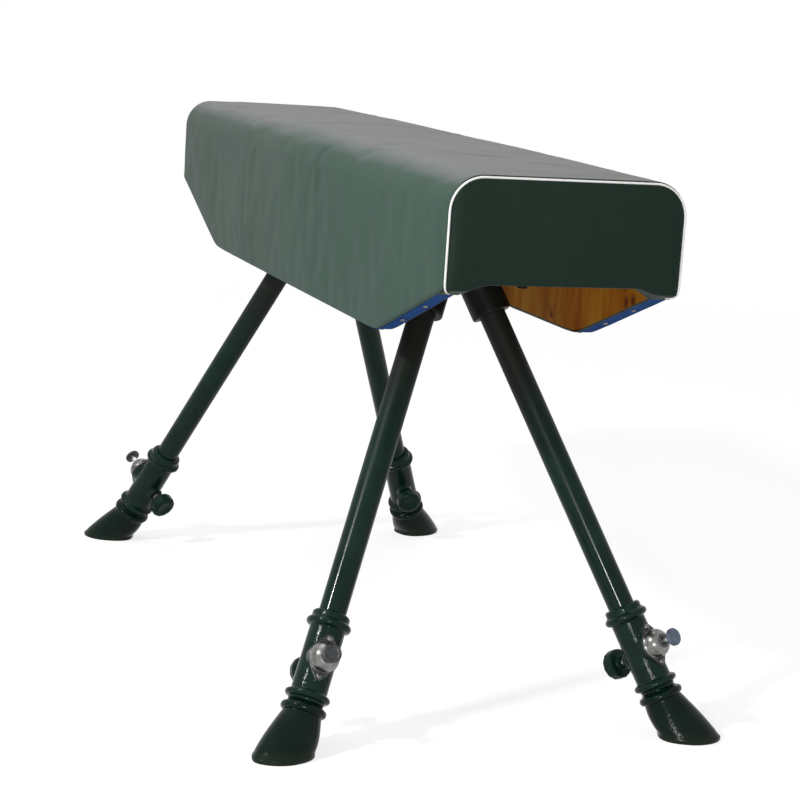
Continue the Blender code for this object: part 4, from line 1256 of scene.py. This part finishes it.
def pipingMesh(side):
    # up both sides and over the top, with its ends tucked under the lower corners
    b, p = body, piping
    edge, top = b["halfWidth"] - p["inset"], b["height"] - p["topInset"]
    bend = b["round"] - p["inset"]
    x = b["halfLength"] - p["inset"]
    half = []
    for back, inward, below in p["tail"]:
        half.append(Vector((x - back, edge - inward, lowerEdge(x - back) - below)))
    foot = b["endFoot"] + p["tailRise"]
    half += [Vector((x, edge, foot + (top - bend - foot) * i / 10)) for i in range(11)]
    half += [Vector((x, y, z)) for y, z in arc((edge - bend, top - bend), bend, 0, 90, 12)[1:]]
    half += [Vector((x, (edge - bend) * (1 - i / 12), top)) for i in range(1, 13)]
    path = half + [Vector((v.x, -v.y, v.z)) for v in reversed(half[:-1])]
    path = [Vector((side * v.x, v.y, v.z)) for v in path]
    full = len(p["tail"])
    ends = [min(i, len(path) - 1 - i) for i in range(len(path))]
    radii = [p["radius"] * (p["tailShare"] + (1 - p["tailShare"]) * min(1.0, i / full)) for i in ends]
    return loft("piping", alongPath(path, radii, p["sides"]))


webStrip = {
    "from": 0.1519, "to": {1: 0.1762, -1: 0.1738}, "thick": 0.0010, "end": 0.7952,
    "tackStep": 0.098, "lastTack": 0.765, "tackY": 0.1635, "tack": 0.0040,
    "slope": 0.3581, "ripple": 0.00025,
}


def stripMesh(side):
    w = webStrip
    outside, inside = [], []
    for i in range(201):
        x = -w["end"] + 2 * w["end"] * i / 200
        foot = lowerEdge(x, body["foldSoft"])
        near, far = [], []
        for j in range(7):
            y = side * (w["from"] + (w["to"][side] - w["from"]) * j / 6)
            ripple = w["ripple"] * noise.noise(Vector((x * 30, y * 40, side * 3.0)))
            near.append(Vector((x, y, foot + ripple)))
            far.append(Vector((x, y, foot + w["thick"] + ripple)))
        outside.append(near)
        inside.append(far)
    return shell("edgeStrip", outside, inside)


def tackMesh(side):
    w = webStrip
    line = [(w["tack"], 0.0004), (w["tack"] * 0.94, -0.0005), (w["tack"] * 0.72, -0.0011)]
    line += [(w["tack"] * 0.40, -0.0015), (0.0002, -0.0017)]
    tacks = []
    count = int(w["end"] / w["tackStep"])
    for i in range(-count, count + 1):
        if abs(i) * w["tackStep"] > w["lastTack"]:
            continue
        x = i * w["tackStep"] + 0.004 * noise.noise(Vector((i * 1.7, side, 0.3)))
        y = side * (w["tackY"] + 0.0015 * noise.noise(Vector((i * 2.3, side * 2.0, 5.1))))
        tilt = math.atan((lowerEdge(x + 0.01) - lowerEdge(x - 0.01)) / 0.02)
        place = Matrix.Translation((x, y, lowerEdge(x, body["foldSoft"]))) @ Matrix.Rotation(-tilt, 4, "Y")
        tacks.append(moved(turned("tack", line, 20), place))
    return joined("tacks", tacks)


def buildBody():
    stands = ["leather_cover", "top_pad", "side_pad_left", "side_pad_right"]
    cover = addPiece("paddedCover", coverMesh(), coverPaint, "root", stands)
    for side, where in ((1, "front"), (-1, "rear")):
        panel = addPiece(
            "endPanel_" + where, endMesh(side), endPaintShaded, "root",
            ["end_cover_" + where, "end_pad_" + where],
        )
        stands = ["piping_" + where]
        addPiece("cornerPiping_" + where, pipingMesh(side), pipingPaint, "root", stands)
        dress("end_board_" + where, endWood)
        dress("bearer_" + where, beamWood)
    for side, hand in ((1, "left"), (-1, "right")):
        stands = ["edge_strip_" + hand]
        strip = addPiece("webStrip_" + hand, stripMesh(side), stripCloth, "root", stands)
        w = webStrip
        # level in the middle, sloped at both ends
        run = 2 * body["foldX"] + 2 * (w["end"] - body["foldX"]) * math.sqrt(1 + w["slope"] ** 2)
        wide = w["to"][side] - w["from"]
        addPiece("stripTacks_" + hand, tackMesh(side), tackMetal, "root")
        dress("side_board_" + hand, sideWood)
    dress("top_board", topWood)


buildBody()
print("body built")


# Leg brackets and their studs

bracket = {
    "length": 0.104, "width": 0.240, "foot": 0.676, "top": 0.684, "corner": 0.010,
    "socket": 0.0325, "socketFoot": 0.730, "lip": 0.0015,
    "bore": 0.0217, "boreFoot": 0.720, "boreTop": 0.7766,
    "boltX": 0.038, "boltY": 0.102, "boltHole": 0.0055, "bolt": 0.0050,
    "nut": 0.0098, "nutThick": 0.0062, "studEnd": 0.0010, "washer": 0.0113, "washerThick": 0.0013,
    "clear": 0.0003, "beamTop": 0.7293,
    "backing": 0.0050, "backingLength": 0.100, "backingWidth": 0.234, "backingCorner": 0.006,
}
# the bracket's middle, where the legs' axes pass through its top
lean = math.tan(math.radians(stance["tilt"])) * math.cos(math.radians(stance["splay"]))
bracket["middle"] = stance["footX"] - bracket["top"] * lean


def roundedBox(name, length, width, low, high, corner):
    outline = []
    for sx, sy, start in ((1, 1, 0), (-1, 1, 90), (-1, -1, 180), (1, -1, 270)):
        centre = (sx * (length / 2 - corner), sy * (width / 2 - corner))
        outline += arc(centre, corner, start, start + 90, 5)
    return prism(name, outline, low, high)


def boltSpots():
    return [(i * bracket["boltX"], j * bracket["boltY"]) for i in (-1, 1) for j in (-1, 1)]


def bracketMesh(sx):
    b = bracket
    shift = Matrix.Translation((sx * b["middle"], 0, 0))
    plate = moved(roundedBox("plate", b["length"], b["width"], b["foot"], b["top"], b["corner"]), shift)
    sockets, bores = [], []
    for sy in (1, -1):
        place = legMatrix(sx, sy)
        _, up, _ = legAxes(sx, sy)
        low = [place @ Vector(p) for p in ringAt(b["socket"], b["socketFoot"], 64)]
        high = [p + up * ((b["top"] - 0.003 - p.z) / up.z) for p in low]
        edge = [p + up * b["lip"] for p in low]
        inner = [place @ Vector(p) for p in ringAt(b["socket"] - b["lip"], b["socketFoot"], 64)]
        sockets.append(loft("socket", [inner, edge, high]))
        bores.append(rod("bore", b["bore"], b["boreFoot"], b["boreTop"], 48, place))
    solid = cast("legBracket", plate, sockets, 0.0017, 3, 0.00012, 0.012)
    for x, y in boltSpots():
        place = shift @ Matrix.Translation((x, y, 0))
        bores.append(rod("hole", b["boltHole"], b["foot"] - 0.01, b["top"] + 0.01, 24, place))
    return cut("legBracket", solid, bores)


def hexNut(foot, top):
    # a hexagon with its corners turned off at both faces
    b = bracket
    rings = []
    for height, reach in ((foot, 0.90), (foot + 0.0009, 1.0), (top - 0.0003, 1.0), (top, 0.97)):
        ring = []
        for i in range(48):
            angle = 2 * math.pi * i / 48
            off = (angle * 6 / (2 * math.pi)) % 1.0 - 0.5
            flat = math.cos(math.pi / 6) / math.cos(off * math.pi / 3)
            radius = b["nut"] * min(flat, reach)
            ring.append((radius * math.cos(angle), radius * math.sin(angle), height))
        rings.append(ring)
    return loft("nut", rings)


def studPlateMesh(sx):
    b = bracket
    shift = Matrix.Translation((sx * b["middle"], 0, 0))
    foot, top = b["beamTop"] + b["clear"], b["foot"] - b["clear"]
    size = (b["backingLength"], b["backingWidth"], foot, foot + b["backing"], b["backingCorner"])
    parts = [worked("backing", roundedBox("backing", *size), [softEdge(0.0007)])]
    bolt, end, under = b["bolt"], top - b["nutThick"] - b["studEnd"], top - b["washerThick"]
    stud = [(0.0004, end), (bolt - 0.0010, end), (bolt, end + 0.0010), (bolt, foot + 0.001)]
    washer = [(bolt, under, 0), (b["washer"], under, 0.0003), (b["washer"], top, 0.0003), (bolt, top, 0)]
    for x, y in boltSpots():
        place = Matrix.Translation((x, y, 0))
        parts.append(moved(turned("stud", stud, 32), place))
        parts.append(moved(turned("washer", rounded(washer, 3, closed=True), 40, looped=True), place))
        nutTurn = Matrix.Rotation(x * 9 + y * 5, 4, "Z")
        parts.append(moved(hexNut(top - b["nutThick"], under), place @ nutTurn))
    return moved(joined("studPlate", parts), shift)


def buildBrackets():
    for sx, where in ((1, "front"), (-1, "rear")):
        stands = ["leg_bracket_" + where]
        addPiece("socketBracket_" + where, bracketMesh(sx), bracketPaint, "root", stands)
        studs = studPlateMesh(sx)
        twoFinishes(studs, bracketPaint, boltMetal, bracket["foot"])
        addPiece("studsAndNuts_" + where, studs, boltMetal, "root", ["stud_plate_" + where])


buildBrackets()
print("brackets built")


# Floor, backdrop and lights

room = {
    "half": 14.0, "color": rgb(0.45, 0.45, 0.45), "ambient": 0.40,
    "glow": 0.72, "farGlow": 0.815, "near": 2.0, "far": 6.5,
}


def floorPaint():
    # plain grey for the light that falls on it, near white to look at; shadows still show
    paint = Paint("paleFloor", {"Base Color": room["color"], "Roughness": 1.0, "Specular IOR Level": 0.0})
    away = paint.node("ShaderNodeVectorMath", {"operation": "LENGTH"}, {0: paint.point()}, output="Value")
    glow = paint.grey(away, room["near"], room["far"], (room["glow"], room["farGlow"]))
    paint.set("Emission Color", glow * paint.seenDirectly())
    paint.set("Emission Strength", 1.0)
    return paint


def buildRoom():
    half = room["half"]
    corners = [(-half, -half, 0), (half, -half, 0), (half, half, 0), (-half, half, 0)]
    mesh = meshFrom("floor", corners, [(0, 1, 2, 3)])
    mesh.materials.append(floorPaint().material)
    floor = newObject("floor", mesh)
    world = bpy.data.worlds.new("world")
    bpy.context.scene.world = world
    world.use_nodes = True
    sky = Nodes(world.node_tree)
    background = world.node_tree.nodes["Background"].inputs
    sky.plug(background["Color"], rgb(1, 1, 1))
    sky.plug(background["Strength"], sky.seenDirectly() * (1 - room["ambient"]) + room["ambient"])


def addLamp(name, place, aim, power, size):
    light = bpy.data.lights.new(name, "AREA")
    light.energy = power
    light.shape = "RECTANGLE"
    light.size, light.size_y = size
    item = newObject(name, light)
    item.location = place
    item.rotation_euler = (Vector(aim) - Vector(place)).to_track_quat("-Z", "Y").to_euler()


lamps = {
    # place, aim, watts, and width and height
    "key": ((1.5, -3.42, 3.02), (0, 0, 0.5), 102, (0.36, 0.28)),
    "over": ((-0.6, -0.6, 3.6), (0, 0, 0.8), 28, (2.4, 1.8)),
    "flash": ((3.58, -1.27, 0.76), (0.5, 0, 0.3), 44, (0.26, 0.38)),
}


def buildLights():
    for name, (place, aim, power, size) in lamps.items():
        addLamp(name, place, aim, power, size)
    bpy.context.scene.view_settings.view_transform = "Standard"


buildRoom()
buildLights()
